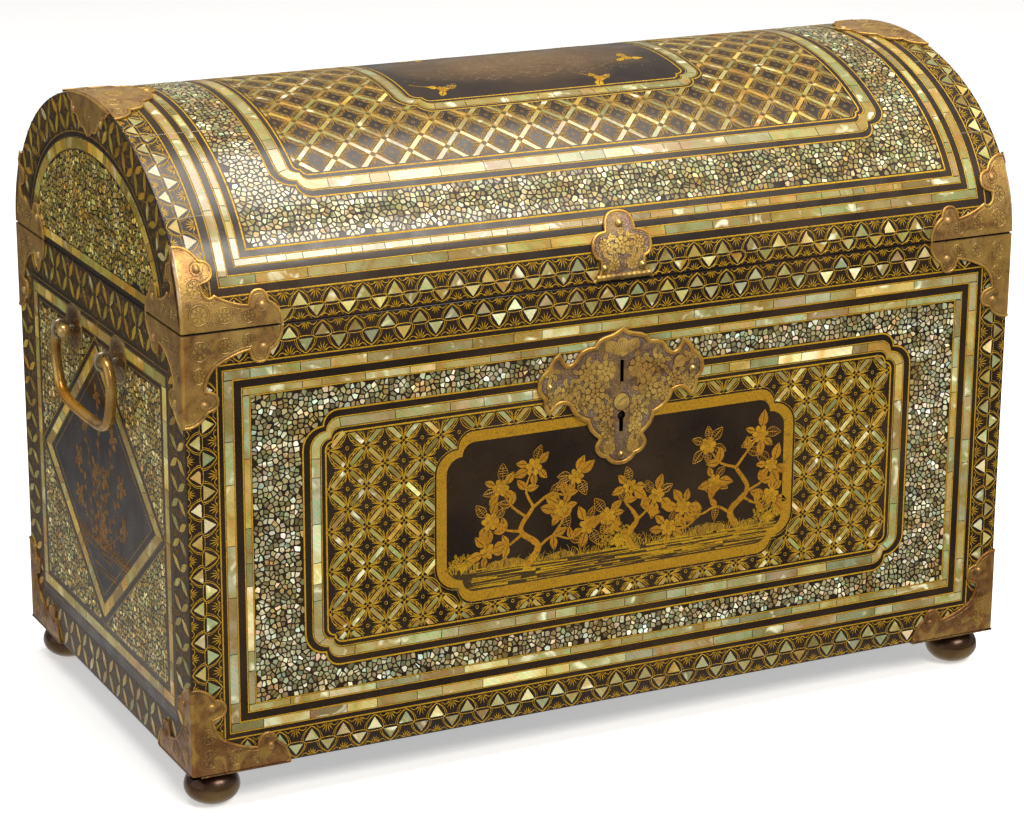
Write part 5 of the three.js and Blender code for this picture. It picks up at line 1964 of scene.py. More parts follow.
def mount_face(layer, place, along, up, trim=list, nails=(0, 1)):
    """One face of a corner mount: its sheet, raised edge, chasing and nails."""
    layer.use(place)
    start = CORNER_RADIUS - MOUNT_THICKNESS
    lobes = mount_edge(along, up)
    outline, lobes = (trim([(u, max(v, SEAM_CLEARANCE)) for u, v in path])
                      for path in ([(start, 0)] + lobes + [(start, up)], lobes))
    layer.plate(outline, MOUNT_THICKNESS, burnished(COPPER, 0.3), grid=MOUNT_GRID)
    chased_edge(layer, lobes, MOUNT_THICKNESS)
    layer.line(narrowed(lobes, BEAD_WIDTH + 1.6), 0.4, burnished(COPPER_GOLD), 0.12, MOUNT_THICKNESS)
    places = ((along - STUD_INSET, STUD_DEPTH), (STUD_DEPTH, up - STUD_INSET))

    def fits(u, v, radius):
        return trim([(u - radius, v)])[0][0] <= u - radius

    for u, v, radius in MOUNT_ROSETTES:
        is_clear = min(math.dist((u, v), place) for place in places) >= radius + STUD_RADIUS + 2
        if is_clear and fits(u, v, radius):
            rosette(layer, (u, v), radius, MOUNT_THICKNESS)
    for k, (u, v, radius) in enumerate(MOUNT_CURLS):
        if fits(u, v, radius):
            curl(layer, (u, v), radius, 97 * k, MOUNT_THICKNESS)
    for k in nails:
        engrave(layer, circle(places[k], STUD_RADIUS + 1.8, 18), 0.5, MOUNT_THICKNESS, closed=True)
        layer.button(places[k], STUD_HEIGHT - 0.1, MOUNT_THICKNESS)


def mount_corner(layer, place, way, start, top, worn=0.0):
    """The rounded corner between a mount's two faces, along one way of the first, with a painted highlight
    that grows stronger higher up, to the share that worn gives.
    """
    rows, steps = 14, 6
    side = np.array((-1.0, 0.0, 0.0))
    points = []
    for i in range(rows + 1):
        reach = start + (top - start) * i / rows
        corner, beyond = place(np.array([(way[0] * reach, way[1] * reach, height) for height in (0, 1)]))
        out = beyond - corner
        centre = corner + (MOUNT_THICKNESS - CORNER_RADIUS) * (out + side)
        for k in range(steps + 1):
            angle = math.pi / 2 * k / steps
            points.append(tuple(centre + CORNER_RADIUS * (math.cos(angle) * out + math.sin(angle) * side)))
        points.append(tuple(corner - 0.5 * (out + side)))
    layer.use(as_it_is)
    first = len(layer.tints)
    layer.add(points, bar_faces(rows, steps + 2), burnished(COPPER_EDGE))
    # Painted highlight: the rings blend towards a pale shine with height.
    tints = [blended(burnished(COPPER_EDGE), burnished(COPPER_PAINTED_HIGHLIGHT), worn * i / rows) for i in range(rows)]
    layer.shade_rings(first, steps + 2, tints)


def fitted(layer, name, look, body, metal, flip_x=False, flip_y=False):
    """A layer's metal in place of one node of the frame, with every face looking out."""
    material, slot = metal
    piece = layer.made(f"{name}_{look}", material, flip_x, flip_y)
    shape = bmesh.new()
    shape.from_mesh(piece.data)
    bmesh.ops.recalc_face_normals(shape, faces=shape.faces)
    shape.to_mesh(piece.data)
    shape.free()
    shown(smooth(piece), body, slot, name)


def body_mount(upper):
    layer = Layer(METAL, 51)
    origin, up = ((-HALF_WIDTH, FRONT, SEAM), -1) if upper else ((-HALF_WIDTH, FRONT, BOTTOM), 1)
    front = on_face(origin, (1, 0, 0), (0, -1, 0), up)
    mount_face(layer, front, ARM_ALONG, ARM_UP)
    mount_face(layer, on_face(origin, (0, 1, 0), (-1, 0, 0), up), ARM_ACROSS, ARM_UP)
    mount_corner(layer, front, (0, 1), SEAM_CLEARANCE, ARM_UP)
    if not upper:
        mount_lip(layer)
    return layer


def mount_lip(layer):
    """The turned-under edge of a lower mount."""
    layer.use(as_it_is)
    low = BOTTOM - MOUNT_THICKNESS
    out_x, out_y = -HALF_WIDTH - MOUNT_THICKNESS, FRONT - MOUNT_THICKNESS
    for high_x, high_y in ((-HALF_WIDTH + ARM_ALONG, FRONT + LIP), (-HALF_WIDTH + LIP, FRONT + ARM_ACROSS)):
        box = [(x, y, z) for z in (low, BOTTOM) for x, y in corners_of((out_x, out_y, high_x, high_y))]
        layer.add(box, bar_faces(1, 4), linear(COPPER))


def under_arch(path):
    """Points moved in from the arch's edge, so that the sheet ends along it."""
    trimmed_path = []
    for u, v in subdivided(path, 3):
        edge = HALF_DEPTH * (1 - math.cos(math.asin(min(v / RISE, 1)))) + CORNER_RADIUS - MOUNT_THICKNESS
        trimmed_path.append((max(u, edge), v))
    return trimmed_path


def lid_mount():
    layer = Layer(METAL, 52)
    dome = on_arch(-HALF_WIDTH)
    end = on_face((-HALF_WIDTH, FRONT, LID_BOTTOM), (0, 1, 0), (-1, 0, 0))
    mount_face(layer, dome, ARM_ALONG, LID_ARM_UP)
    mount_face(layer, end, ARM_ACROSS, LID_ARM_UP, under_arch, (0,))
    # The lid's arris gets its painted highlight in full.
    mount_corner(layer, dome, (0, 1), SEAM_CLEARANCE, LID_ARM_UP, worn=1.0)
    return layer


def make_mounts():
    for kind, layer, body in (("upper", body_mount(True), "chest"), ("lower", body_mount(False), "chest"),
                              ("lid", lid_mount(), "lid")):
        for corner, flip_x, flip_y in CORNERS:
            fitted(layer, f"mount_{kind}_{corner}", "chased", body, GILDED, flip_x, flip_y)


# Ridge mounts, lock plate and hasp plate

RIDGE_HALF_WIDTH = 55
RIDGE_REACH = 50
TONGUE_HALF_WIDTH = 44
TONGUE_DROP = 28
LOCK_DROP = 33
HORN_SPAN = 49
SLOT = (3.6, 24, 41)
KEYHOLE_DROP = 65.5
KEYHOLE_RADIUS = 3.6
KEY_SLOT = (4.2, 78)
HASP_HALF_WIDTH = 24
HASP_HEIGHT = 46
HASP_LIFT = 2
HASP_ROLL_RADIUS = 2.2
NAIL_RADIUS = 3
NAIL_HEIGHT = 2.4
NAIL_SHANK = 1.2
NAIL_LENGTH = 9
LOCK_NAILS = (("lock_nail_left", -57.5, 38), ("lock_nail_right", 57.5, 38), ("lock_nail_bottom", 0, 95))
LOCK_RIM_WIDTH = 3.0
FAN_ROOT = (0, 22.3)
FAN_OPENING = 66
FAN_FLUTES = 13
LOCK_FLOWERS = ((12.8, 31, 8.0), (28, 30, 7.2), (42.5, 43, 6.4), (21.5, 46.5, 8.2), (35, 53, 5.8),
                (54.5, 48, 4.6), (12.6, 62, 6.2), (11, 76, 5.6), (9.4, 89, 5.0), (58, 27, 4.0))
LOCK_DISCS = (((0, 55.3), 6.2), ((47, 31), 4.8))
SMALL_FLOWER = 3.5
SMALL_GRID = 4.0
HASP_FLOWERS = ((0, 23, 6.4), (-13.5, 24, 4.6), (13.5, 24, 4.6), (-7, 10, 4.4), (7, 10, 4.4), (0, 32, 2.6))
HASP_NAILS = (("hasp_nail_top", 0, 39), ("hasp_nail_left", -15, 10), ("hasp_nail_right", 15, 10))
RIDGE_ROSETTES = ((0, 19, 9), (-24, 10, 6.5), (24, 10, 6.5), (-42, 7, 4.5), (42, 7, 4.5))
RIDGE_CURLS = ((-13, 27), (13, 27), (-33, 12), (33, 12), (-12, 6), (12, 6))
TONGUE_CURLS = ((-12, 9), (12, 9), (-20, 8), (20, 8), (-36, 8), (36, 8))


def mirrored(half):
    """A whole outline from its right half, whose first and last points may lie on the axis."""
    other = [(-u, v) for u, v in half if abs(u) > TINY]
    return half + other[::-1]


def tongue_half(width, reach):
    """Half of a lobed outline, from its edge at full width to its tip."""
    return curved_outline((width, 0), (
        ((width - 2, reach * 0.3), (width * 0.76, reach * 0.32)),
        ((width * 0.74, reach * 0.62), (width * 0.5, reach * 0.6)),
        ((width * 0.4, reach * 0.9), (width * 0.18, reach * 0.84)),
        ((width * 0.1, reach * 0.98), (0, reach)),
    ), 7)


def over_ridge(p):
    """Across is to the back from the middle, up is inward from the lid's left end."""
    y, z = arch_points(np.arccos(np.clip(-p[:, 0] / HALF_DEPTH, -1, 1)), p[:, 2] + SKIN_GAP)
    return np.column_stack((p[:, 1] - HALF_WIDTH, y, z))


# Across is to the back from the middle, up is down from the ridge on the lid's left end
down_end = on_face((-HALF_WIDTH, MIDDLE, LID_BOTTOM + RISE), (0, 1, 0), (-1, 0, 0), -1)


def chased_edge(layer, line, base):
    """A raised bead along an edge, and a fine line beside it. The metal is on the line's left."""
    layer.bead(narrowed(line, BEAD_WIDTH / 2), BEAD_WIDTH, BEAD_HEIGHT, burnished(COPPER_EDGE), base - 0.05)
    engrave(layer, narrowed(line, BEAD_WIDTH + 0.5), 0.45, base)


def ridge_mount():
    layer = Layer(METAL, 53)
    copper = burnished(COPPER, 0.3)
    start = CORNER_RADIUS - MOUNT_THICKNESS
    layer.use(over_ridge)
    edge = mirrored(tongue_half(RIDGE_HALF_WIDTH, RIDGE_REACH))
    sheet = [(-RIDGE_HALF_WIDTH, start), (RIDGE_HALF_WIDTH, start)] + edge
    layer.plate(sheet, MOUNT_THICKNESS, copper, grid=MOUNT_GRID)
    chased_edge(layer, edge, MOUNT_THICKNESS)
    for u, v, radius in RIDGE_ROSETTES:
        rosette(layer, (u, v), radius, MOUNT_THICKNESS)
    for k, place in enumerate(RIDGE_CURLS):
        curl(layer, place, 3.2, 60 * k, MOUNT_THICKNESS)
    layer.button((0, RIDGE_REACH - STUD_DEPTH / 2), STUD_HEIGHT - 0.5, MOUNT_THICKNESS)

    layer.use(down_end)
    arch_line = []
    for k in range(25):
        u = TONGUE_HALF_WIDTH * (k / 12 - 1)
        below = RISE * (1 - math.sqrt(1 - (u / HALF_DEPTH) ** 2))
        arch_line.append((u, below + start))
    drop = [(u, v) for u, v in mirrored(tongue_half(TONGUE_HALF_WIDTH, TONGUE_DROP)) if v > arch_line[-1][1]]
    layer.plate(arch_line + drop, MOUNT_THICKNESS, copper, grid=MOUNT_GRID)
    chased_edge(layer, drop, MOUNT_THICKNESS)
    rosette(layer, (0, 13), 7, MOUNT_THICKNESS)
    for k, place in enumerate(TONGUE_CURLS):
        curl(layer, place, 2.6, 75 * k, MOUNT_THICKNESS)
    for side in (-1, 1):
        place = (side * (TONGUE_HALF_WIDTH - STUD_INSET), TONGUE_DROP / 2)
        layer.button(place, STUD_HEIGHT - 0.1, MOUNT_THICKNESS)
    mount_corner(layer, over_ridge, (1, 0), -TONGUE_HALF_WIDTH, TONGUE_HALF_WIDTH)
    return layer


def make_ridge_mounts():
    layer = ridge_mount()
    for side, flip in SIDES:
        fitted(layer, f"mount_ridge_{side}", "chased", "lid", GILDED, flip)


def lock_half():
    """Half of the lock plate, from its top cusp down to its foot, as across and drop."""
    return curved_outline((0, 0), (
        ((6, 4.5), (13, 5.3)),
        ((20, 6.5), (22.5, 12)),
        ((33, 11.5), (36.5, 18.5)),
        ((43.5, 29), (HORN_SPAN, 14)),
        ((56, 15), (59, 24)),
        ((67, 29), (67, 36)),
        ((67, 43), (62, 46)),
        ((63, 54), (57, 59)),
        ((50, 48), (42, 53)),
        ((38, 64), (27.5, 67)),
        ((26, 76), (17.5, 81)),
        ((22, 86), (20.5, 90)),
        ((17, 96), (12, 96)),
        ((8, 102.5), (0, 102.5)),
    ), 7)


# Across is from the middle and up is down from the lock plate's top
on_lock = on_face((0, FRONT, SEAM - LOCK_DROP), (1, 0, 0), (0, -1, 0), -1)


def keyhole():
    half = KEY_SLOT[0] / 2
    opening = math.degrees(math.asin(half / KEYHOLE_RADIUS))
    around = arc((0, KEYHOLE_DROP), (KEYHOLE_RADIUS, KEYHOLE_RADIUS), 90 + opening, 450 - opening, 20)
    return around + [(half, KEY_SLOT[1]), (-half, KEY_SLOT[1])]


def encloses(polygon, point):
    """True for a point inside a polygon of any shape."""
    inside = False
    for (u0, v0), (u1, v1) in zip(polygon, polygon[1:] + polygon[:1]):
        if (v0 > point[1]) != (v1 > point[1]) and point[0] < u0 + (u1 - u0) * (point[1] - v0) / (v1 - v0):
            inside = not inside
    return inside


def fan_edge(degrees):
    """A point on the scalloped edge of the fan above the slot, by its angle from upright."""
    lobe = abs(math.cos(1.5 * math.pi * degrees / FAN_OPENING))
    reach = (14.2 + 4.6 * abs(degrees) / FAN_OPENING) * (0.76 + 0.24 * lobe)
    return away(FAN_ROOT, reach, degrees - 90)


def lock_fan(layer):
    """A palmette in three round lobes, with fine flutes."""
    outline = [FAN_ROOT] + [fan_edge(FAN_OPENING * (k / 18 - 1)) for k in range(37)]
    layer.tile(outline, 0.25, burnished(LOCK_GOLD), PLATE_THICKNESS)
    for k in range(FAN_FLUTES):
        tip = fan_edge(FAN_OPENING * 0.92 * (2 * k / (FAN_FLUTES - 1) - 1))
        flute = [blended(FAN_ROOT, tip, 0.3), blended(FAN_ROOT, tip, 0.92)]
        engrave(layer, flute, 0.5, PLATE_THICKNESS + 0.25)


def lock_plate():
    layer = Layer(METAL, 54)
    layer.use(on_lock)
    outline = mirrored(lock_half())
    slot = corners_of((-SLOT[0] / 2, SLOT[1], SLOT[0] / 2, SLOT[2]))
    layer.plate(outline, PLATE_THICKNESS, linear(LOCK_GROUND), [slot, keyhole()])
    edge = (outline + outline[:1])[::-1] if area(outline) < 0 else outline + outline[:1]
    rim = narrowed(edge, LOCK_RIM_WIDTH / 2)
    layer.bead(rim, LOCK_RIM_WIDTH, 0.7, burnished(LOCK_RIM), PLATE_THICKNESS - 0.05)
    # A painted highlight: a pale line along the top of the rim.
    layer.line(narrowed(edge, 0.4), 0.6, linear(RIM_PAINTED_HIGHLIGHT), 0.12, PLATE_THICKNESS + 0.2)
    engrave(layer, narrowed(edge, LOCK_RIM_WIDTH + 0.6), 0.7, PLATE_THICKNESS, 0.08)
    for hole in (slot, keyhole()):
        layer.line(hole, 0.7, linear(NAIL), 0.1, PLATE_THICKNESS, closed=True)
    lock_fan(layer)
    for place, radius in LOCK_DISCS:
        layer.tile(circle(place, radius + 0.8, 36), 0.1, linear(ENGRAVED), PLATE_THICKNESS)
        layer.tile(circle(place, radius, 36), 0.35, burnished(LOCK_GOLD), PLATE_THICKNESS)
    ground_line = narrowed(edge, LOCK_RIM_WIDTH + 1.6)
    for side in (-1, 1):
        for u, v, radius in LOCK_FLOWERS:
            flower_head(layer, (side * u, v), radius, ground_line)
    return layer


def flower_head(layer, centre, radius, ground_line):
    """A chased flower: gilt petals in two rings on a dark disc, with leaves round it where they fit."""
    turn = layer.chance.uniform(0, 45)
    if radius > SMALL_FLOWER:
        for k in range(8):
            degrees = turn + 45 * k
            place = away(centre, radius + 2.0, degrees)
            tip = away(centre, radius + 5.0, degrees)
            if encloses(ground_line, tip) and abs(tip[0]) > 4.6:
                base = PLATE_THICKNESS + layer.raised()
                engraved_petal(layer, place, degrees + 34, 6.4, 3.4, base, burnished(LOCK_GOLD))
                engrave(layer, turned_about([(-2.2, 0), (2.0, 0)], place, degrees + 34), 0.45, base + 0.14)
    base = PLATE_THICKNESS + LIFT_RANGE
    layer.tile(arc(centre, (radius + 0.3,) * 2, 0, 345, 24), 0.1, burnished(LOCK_CUT), base)
    for count, near_end, far_end in ((8, 0.5, 1.0), (5, 0.1, 0.45)):
        for k in range(count):
            reach = (near_end * radius, far_end * radius)
            petal_of(layer, centre, reach, turn + 360 * k / count, 180 / count, base + 0.1)


def petal_of(layer, centre, reach, degrees, half_turn, base):
    """A petal of a chased flower: a sector with a round end, and narrow gaps to its neighbours."""
    outline = []
    for k in range(9):
        share = k / 4 - 1
        outline.append(away(centre, reach[1] * (1 - 0.14 * share ** 2), degrees + half_turn * share * 0.9))
    outline += [away(centre, reach[0], degrees + half_turn * share) for share in (0.75, -0.75)]
    layer.tile(outline, 0.12, burnished(LOCK_GOLD), base)


def hasp_half():
    """Half of the hasp plate, from its lower corner up to its top."""
    return curved_outline((HASP_HALF_WIDTH, 0), (
        ((HASP_HALF_WIDTH - 8, 5), (HASP_HALF_WIDTH - 6, 14)),
        ((HASP_HALF_WIDTH, 15), (HASP_HALF_WIDTH, 23)),
        ((HASP_HALF_WIDTH - 1, 33), (12, 33)),
        ((13, HASP_HEIGHT), (0, HASP_HEIGHT)),
    ), 8)


def hasp_plate():
    layer = Layer(METAL, 55)
    layer.use(on_arch(0, HASP_LIFT))
    edge = mirrored(hasp_half())
    layer.plate(edge, PLATE_THICKNESS, linear(LOCK_GROUND), grid=SMALL_GRID)
    layer.bead(narrowed(edge, 0.9), 1.8, 0.7, burnished(LOCK_RIM), PLATE_THICKNESS - 0.05)
    engrave(layer, narrowed(edge, 2.8), 0.5, PLATE_THICKNESS, 0.08)
    ground_line = narrowed(edge + edge[:1], 3.4)
    for u, v, radius in HASP_FLOWERS:
        flower_head(layer, (u, v), radius, ground_line)
    roll_end = HASP_HALF_WIDTH - 2
    rings = 11
    profile = [(0.0, -roll_end)]
    for k in range(rings):
        for share in (0.04, 0.25, 0.5, 0.75, 0.96):
            along = -roll_end + 2 * roll_end * (k + share) / rings
            profile.append((HASP_ROLL_RADIUS * (0.86 + 0.14 * math.sin(math.pi * share) ** 0.5), along))
    profile.append((0.0, roll_end))
    centre = (0, FRONT - SKIN_GAP - HASP_ROLL_RADIUS, LID_BOTTOM + HASP_LIFT + HASP_ROLL_RADIUS)
    lathe(layer, profile, centre, (1, 0, 0), 20, burnished(HASP_ROLL))
    return layer


def lathe(layer, profile, origin, axis, sides, tint, relief=None):
    """A profile of radius and distance along an axis, turned about it. Relief is added along the axis."""
    axis = Vector(axis).normalized()
    across = axis.orthogonal().normalized()
    third = axis.cross(across)
    points = []
    for radius, along in profile:
        for i in range(sides):
            angle = 2 * math.pi * i / sides
            lift = along + (relief(radius, angle) if relief else 0)
            place = Vector(origin) + axis * lift
            place += (across * math.cos(angle) + third * math.sin(angle)) * max(radius, 0.001)
            points.append(tuple(place))
    layer.use(as_it_is)
    layer.add(points, bar_faces(len(profile) - 1, sides), tint)


def domed_nail(point, normal):
    """A nail with a polished round head, its shank in the wood."""
    layer = Layer(METAL, 56)
    profile = [(0.0, SKIN_GAP - NAIL_LENGTH), (NAIL_SHANK, SKIN_GAP - NAIL_LENGTH), (NAIL_SHANK, 0.1)]
    for k in range(7):
        lift = math.pi / 2 * k / 6
        profile.append((NAIL_RADIUS * math.cos(lift), 0.1 + (NAIL_HEIGHT - 0.1) * math.sin(lift)))
    lathe(layer, profile, point, normal, 24, linear(NAIL))
    return layer


def make_lock_and_hasp():
    fitted(lock_plate(), "lock_plate", "chased", "chest", GILDED)
    fitted(hasp_plate(), "hasp_plate", "chased", "lid", GILDED)
    for name, across, drop in LOCK_NAILS:
        point = (across, FRONT - PLATE_THICKNESS, SEAM - LOCK_DROP - drop)
        fitted(domed_nail(point, (0, -1, 0)), name, "domed", "chest", BRASS)
    for name, across, height in HASP_NAILS:
        angle = math.asin(height / RISE)
        y, z = arch_points(np.array([angle]), SKIN_GAP + PLATE_THICKNESS)
        normal = (0, -math.cos(angle) / HALF_DEPTH, math.sin(angle) / RISE)
        fitted(domed_nail((across, y[0], z[0]), normal), name, "domed", "lid", BRASS)


# Feet, side handles and hinges

FOOT_RADIUS = 20
FOOT_WAIST = 13
FOOT_SEAT = 7
FOOT_COLLAR = 9
FOOT_COLLAR_HEIGHT = 2
FOOT_INSET = 21
TENON_RADIUS = 5
TENON_LENGTH = 8
EYE_STANDOFF = 11
EYE_HOLE = 4.6
EYE_WIRE = 1.5
SHANK_RADIUS = 2.2
CLINCH = (4, 14, 1.5)
ROSETTE_RADIUS = 17.5
ROSETTE_HEIGHT = 2.8
ROSETTE_RIM = 0.8
BAIL_RADIUS = 4
BAIL_KNOB = 5.2
KNOB_INSET = 7.5
BAIL_BULGE = 13
BAIL_DROP = 51.5
WORN_MIDDLE = 0.42
WORN_REACH = 0.14
HINGE_SPACING = 400
LEAF_THICKNESS = 1.5
LEAF_HALF_WIDTH = 18
LEAF_LENGTH = 54
KNUCKLE_RADIUS = 4.2
KNUCKLE_GAP = 0.4
PIN_RADIUS = 2
PIN_HEAD = (3.2, 1.2)
LEAF_STUDS = ((-12, 20), (12, 20), (0, 45))
LEAF_CURLS = ((-11, 29), (11, 29), (0, 14), (-5, 37), (5, 37))
LEAF_START = KNUCKLE_RADIUS + 0.7
HINGE_AXIS = (-HINGE_SPACING / 2, BACK + KNUCKLE_RADIUS + KNUCKLE_GAP, (SEAM + LID_BOTTOM) / 2)


def make_feet():
    layer = Layer(METAL, 57)
    sides = 48
    profile = [(0.0, 0.0)]
    seat = math.acos(FOOT_SEAT / FOOT_RADIUS)
    collar = math.acos(FOOT_COLLAR / FOOT_RADIUS)
    lower = FOOT_WAIST / math.sin(seat)
    upper = (BOTTOM - FOOT_COLLAR_HEIGHT - FOOT_WAIST) / math.sin(collar)
    for i in range(-9, 10):
        angle, rise = (seat * i / 9, lower) if i < 0 else (collar * i / 9, upper)
        profile.append((FOOT_RADIUS * math.cos(angle), FOOT_WAIST + rise * math.sin(angle)))
    profile += [(FOOT_COLLAR, BOTTOM), (TENON_RADIUS, BOTTOM), (TENON_RADIUS, BOTTOM + TENON_LENGTH)]
    profile.append((0.0, BOTTOM + TENON_LENGTH))
    centre = (-HALF_WIDTH + FOOT_INSET, FRONT + FOOT_INSET, 0)
    # Painted reflection: the foot is dark on top, where the chest's dark underside would show in it, and
    # lighter and golden low down, where the pale floor would show.
    lathe(layer, profile, centre, (0, 0, 1), sides, linear(FOOT_PAINTED_SHADE))
    shades = [blended(linear(FOOT_PAINTED_LIGHT), linear(FOOT_PAINTED_SHADE), (row / 13) ** 1.5) for row in range(14)]
    layer.shade_rings(0, sides, shades)
    for corner, flip_x, flip_y in CORNERS:
        fitted(layer, f"foot_{corner}", "turned", "chest", BRONZED, flip_x, flip_y)


def smooth_curve(points, steps):
    """A centripetal Catmull-Rom curve through points."""
    points = [Vector(point) for point in points]
    ends = [2 * points[0] - points[1]] + points + [2 * points[-1] - points[-2]]
    curve = []
    for p0, p1, p2, p3 in zip(ends, ends[1:], ends[2:], ends[3:]):
        t1 = max((p1 - p0).length, TINY) ** 0.5
        t2 = t1 + (p2 - p1).length ** 0.5
        t3 = t2 + max((p3 - p2).length, TINY) ** 0.5
        for k in range(steps):
            t = t1 + (t2 - t1) * k / steps
            a1 = p0 * (t1 - t) / t1 + p1 * t / t1
            a2 = p1 * (t2 - t) / (t2 - t1) + p2 * (t - t1) / (t2 - t1)
            a3 = p2 * (t3 - t) / (t3 - t2) + p3 * (t - t2) / (t3 - t2)
            b1 = a1 * (t2 - t) / t2 + a2 * t / t2
            b2 = a2 * (t3 - t) / (t3 - t1) + a3 * (t - t1) / (t3 - t1)
            curve.append(b1 * (t2 - t) / (t2 - t1) + b2 * (t - t1) / (t2 - t1))
    return curve + [points[-1]]


def tube(layer, path, radius, sides, tints):
    """A round bar along a path that lies in a plane square to X, with a tint for each of its rings."""
    points = []
    count = len(path)
    for i, here in enumerate(path):
        along = (path[min(i + 1, count - 1)] - path[max(i - 1, 0)]).normalized()
        across = along.cross(Vector((1, 0, 0))).normalized()
        third = along.cross(across)
        for k in range(sides):
            angle = 2 * math.pi * k / sides
            points.append(tuple(here + (across * math.cos(angle) + third * math.sin(angle)) * radius))
    layer.use(as_it_is)
    layer.add(points, bar_faces(count - 1, sides), tints[0])
    layer.shade_rings(0, sides, tints[:-1])


def bail():
    layer = Layer(METAL, 58)
    half = EYE_SPREAD
    right = [
        (half - KNOB_INSET, 0),
        (half, 0),
        (half + BAIL_BULGE * 0.55, -BAIL_DROP * 0.04),
        (half + BAIL_BULGE, -BAIL_DROP * 0.26),
        (half + BAIL_BULGE * 0.86, -BAIL_DROP * 0.58),
        (half + BAIL_BULGE * 0.3, -BAIL_DROP * 0.85),
        (half - BAIL_BULGE * 0.7, -BAIL_DROP * 0.97),
        (half * 0.35, -BAIL_DROP),
    ]
    line = right + [(-y, z) for y, z in right][::-1]
    x = -HALF_WIDTH - EYE_STANDOFF
    path = smooth_curve([(x, MIDDLE + y, EYE_HEIGHT + z) for y, z in line], 8)
    tints = []
    for i in range(len(path)):
        worn = max(0.0, 1 - abs(i / len(path) - WORN_MIDDLE) / WORN_REACH)
        tints.append(blended(linear(BAIL_METAL), linear(BRONZE_WORN), min(1.5 * worn, 1)))
    tube(layer, path, BAIL_RADIUS, 24, tints)
    angles = [math.pi * k / 12 for k in range(13)]
    profile = [(BAIL_KNOB * math.sin(angle), -BAIL_KNOB * math.cos(angle)) for angle in angles]
    for side in (-1, 1):
        centre = (x, MIDDLE + side * (half - KNOB_INSET), EYE_HEIGHT)
        lathe(layer, profile, centre, (0, 1, 0), 24, linear(KNOB))
    return layer


def eye(y):
    layer = Layer(METAL, 59)
    centre = Vector((-HALF_WIDTH - EYE_STANDOFF, y, EYE_HEIGHT))
    ring = EYE_HOLE + EYE_WIRE
    tint = linear(EYE_METAL)
    around, sides = 40, 12
    points = []
    for i in range(around):
        turn = 2 * math.pi * i / around
        out = Vector((math.cos(turn), 0, math.sin(turn)))
        for k in range(sides):
            angle = 2 * math.pi * k / sides
            wire = out * math.cos(angle) + Vector((0, 1, 0)) * math.sin(angle)
            points.append(tuple(centre + out * ring + wire * EYE_WIRE))
    layer.use(as_it_is)
    faces = [tuple(i % len(points) for i in face) for face in ring_faces(around, sides)]
    layer.add(points, faces, tint)
    inner = HALF_WIDTH - WALL - CLINCH[2]
    shank = centre.x + ring
    profile = [(0.0, 0.0), (SHANK_RADIUS, 0.0), (SHANK_RADIUS, -inner - shank), (0.0, -inner - shank)]
    lathe(layer, profile, (shank, y, EYE_HEIGHT), (1, 0, 0), 20, tint)
    wide, tall = CLINCH[0] / 2, CLINCH[1] / 2
    section = corners_of((y - wide, EYE_HEIGHT - tall, y + wide, EYE_HEIGHT + tall))
    box = [(x, *corner) for x in (-inner - CLINCH[2], -inner) for corner in section]
    layer.add(box, bar_faces(1, 4), tint)
    return layer


def handle_rosette(y):
    """A round domed washer, fluted like a flower, with a plain rim painted pale as a highlight."""
    layer = Layer(METAL, 60)
    sides = 96
    hole = SHANK_RADIUS + SKIN_GAP
    rim = ROSETTE_RADIUS - 2.8
    profile = [(hole, 0.0), (ROSETTE_RADIUS, 0.0), (ROSETTE_RADIUS, ROSETTE_RIM)]
    profile += [(ROSETTE_RADIUS - 0.8, ROSETTE_RIM + 0.4), (ROSETTE_RADIUS - 2.2, ROSETTE_RIM + 0.3)]
    profile.append((rim, ROSETTE_RIM - 0.1))
    for k in range(1, 11):
        share = k / 10
        lift = (ROSETTE_HEIGHT - ROSETTE_RIM - 0.4) * math.sin(math.pi / 2 * share)
        profile.append((rim + (hole - rim) * share, ROSETTE_RIM + lift))

    def relief(radius, angle):
        if not hole + 0.5 < radius < ROSETTE_RADIUS - 3:
            return 0.0
        return 0.35 * abs(math.cos(6 * angle)) ** 0.7

    lathe(layer, profile, (-HALF_WIDTH, y, EYE_HEIGHT), (-1, 0, 0), sides, linear(BRONZE), relief)
    # The rim's rings are painted pale as a highlight.
    layer.shade_rings(sides, sides, [linear(RIM_PAINTED_HIGHLIGHT)] * 3)
    return layer


def make_handles():
    bent = bail()
    for side, flip in SIDES:
        fitted(bent, f"handle_{side}_bail", "smooth", f"handle_{side}", BRONZED, flip)
    for end, y in (("front", MIDDLE - EYE_SPREAD), ("back", MIDDLE + EYE_SPREAD)):
        loop, washer = eye(y), handle_rosette(y)
        for side, flip in SIDES:
            fitted(loop, f"handle_{side}_eye_{end}", "smooth", "chest", BRONZED, flip)
            fitted(washer, f"handle_{side}_rosette_{end}", "fluted", "chest", BRONZED, flip)


def leaf_half():
    """Half of a hinge leaf, from its straight edge to its lobed tip."""
    across, reach = LEAF_HALF_WIDTH, LEAF_LENGTH
    return curved_outline((across, reach * 0.38), (
        ((across + 5, reach * 0.62), (across - 6, reach * 0.68)),
        ((across - 8, reach * 0.92), (0, reach)),
    ), 8)


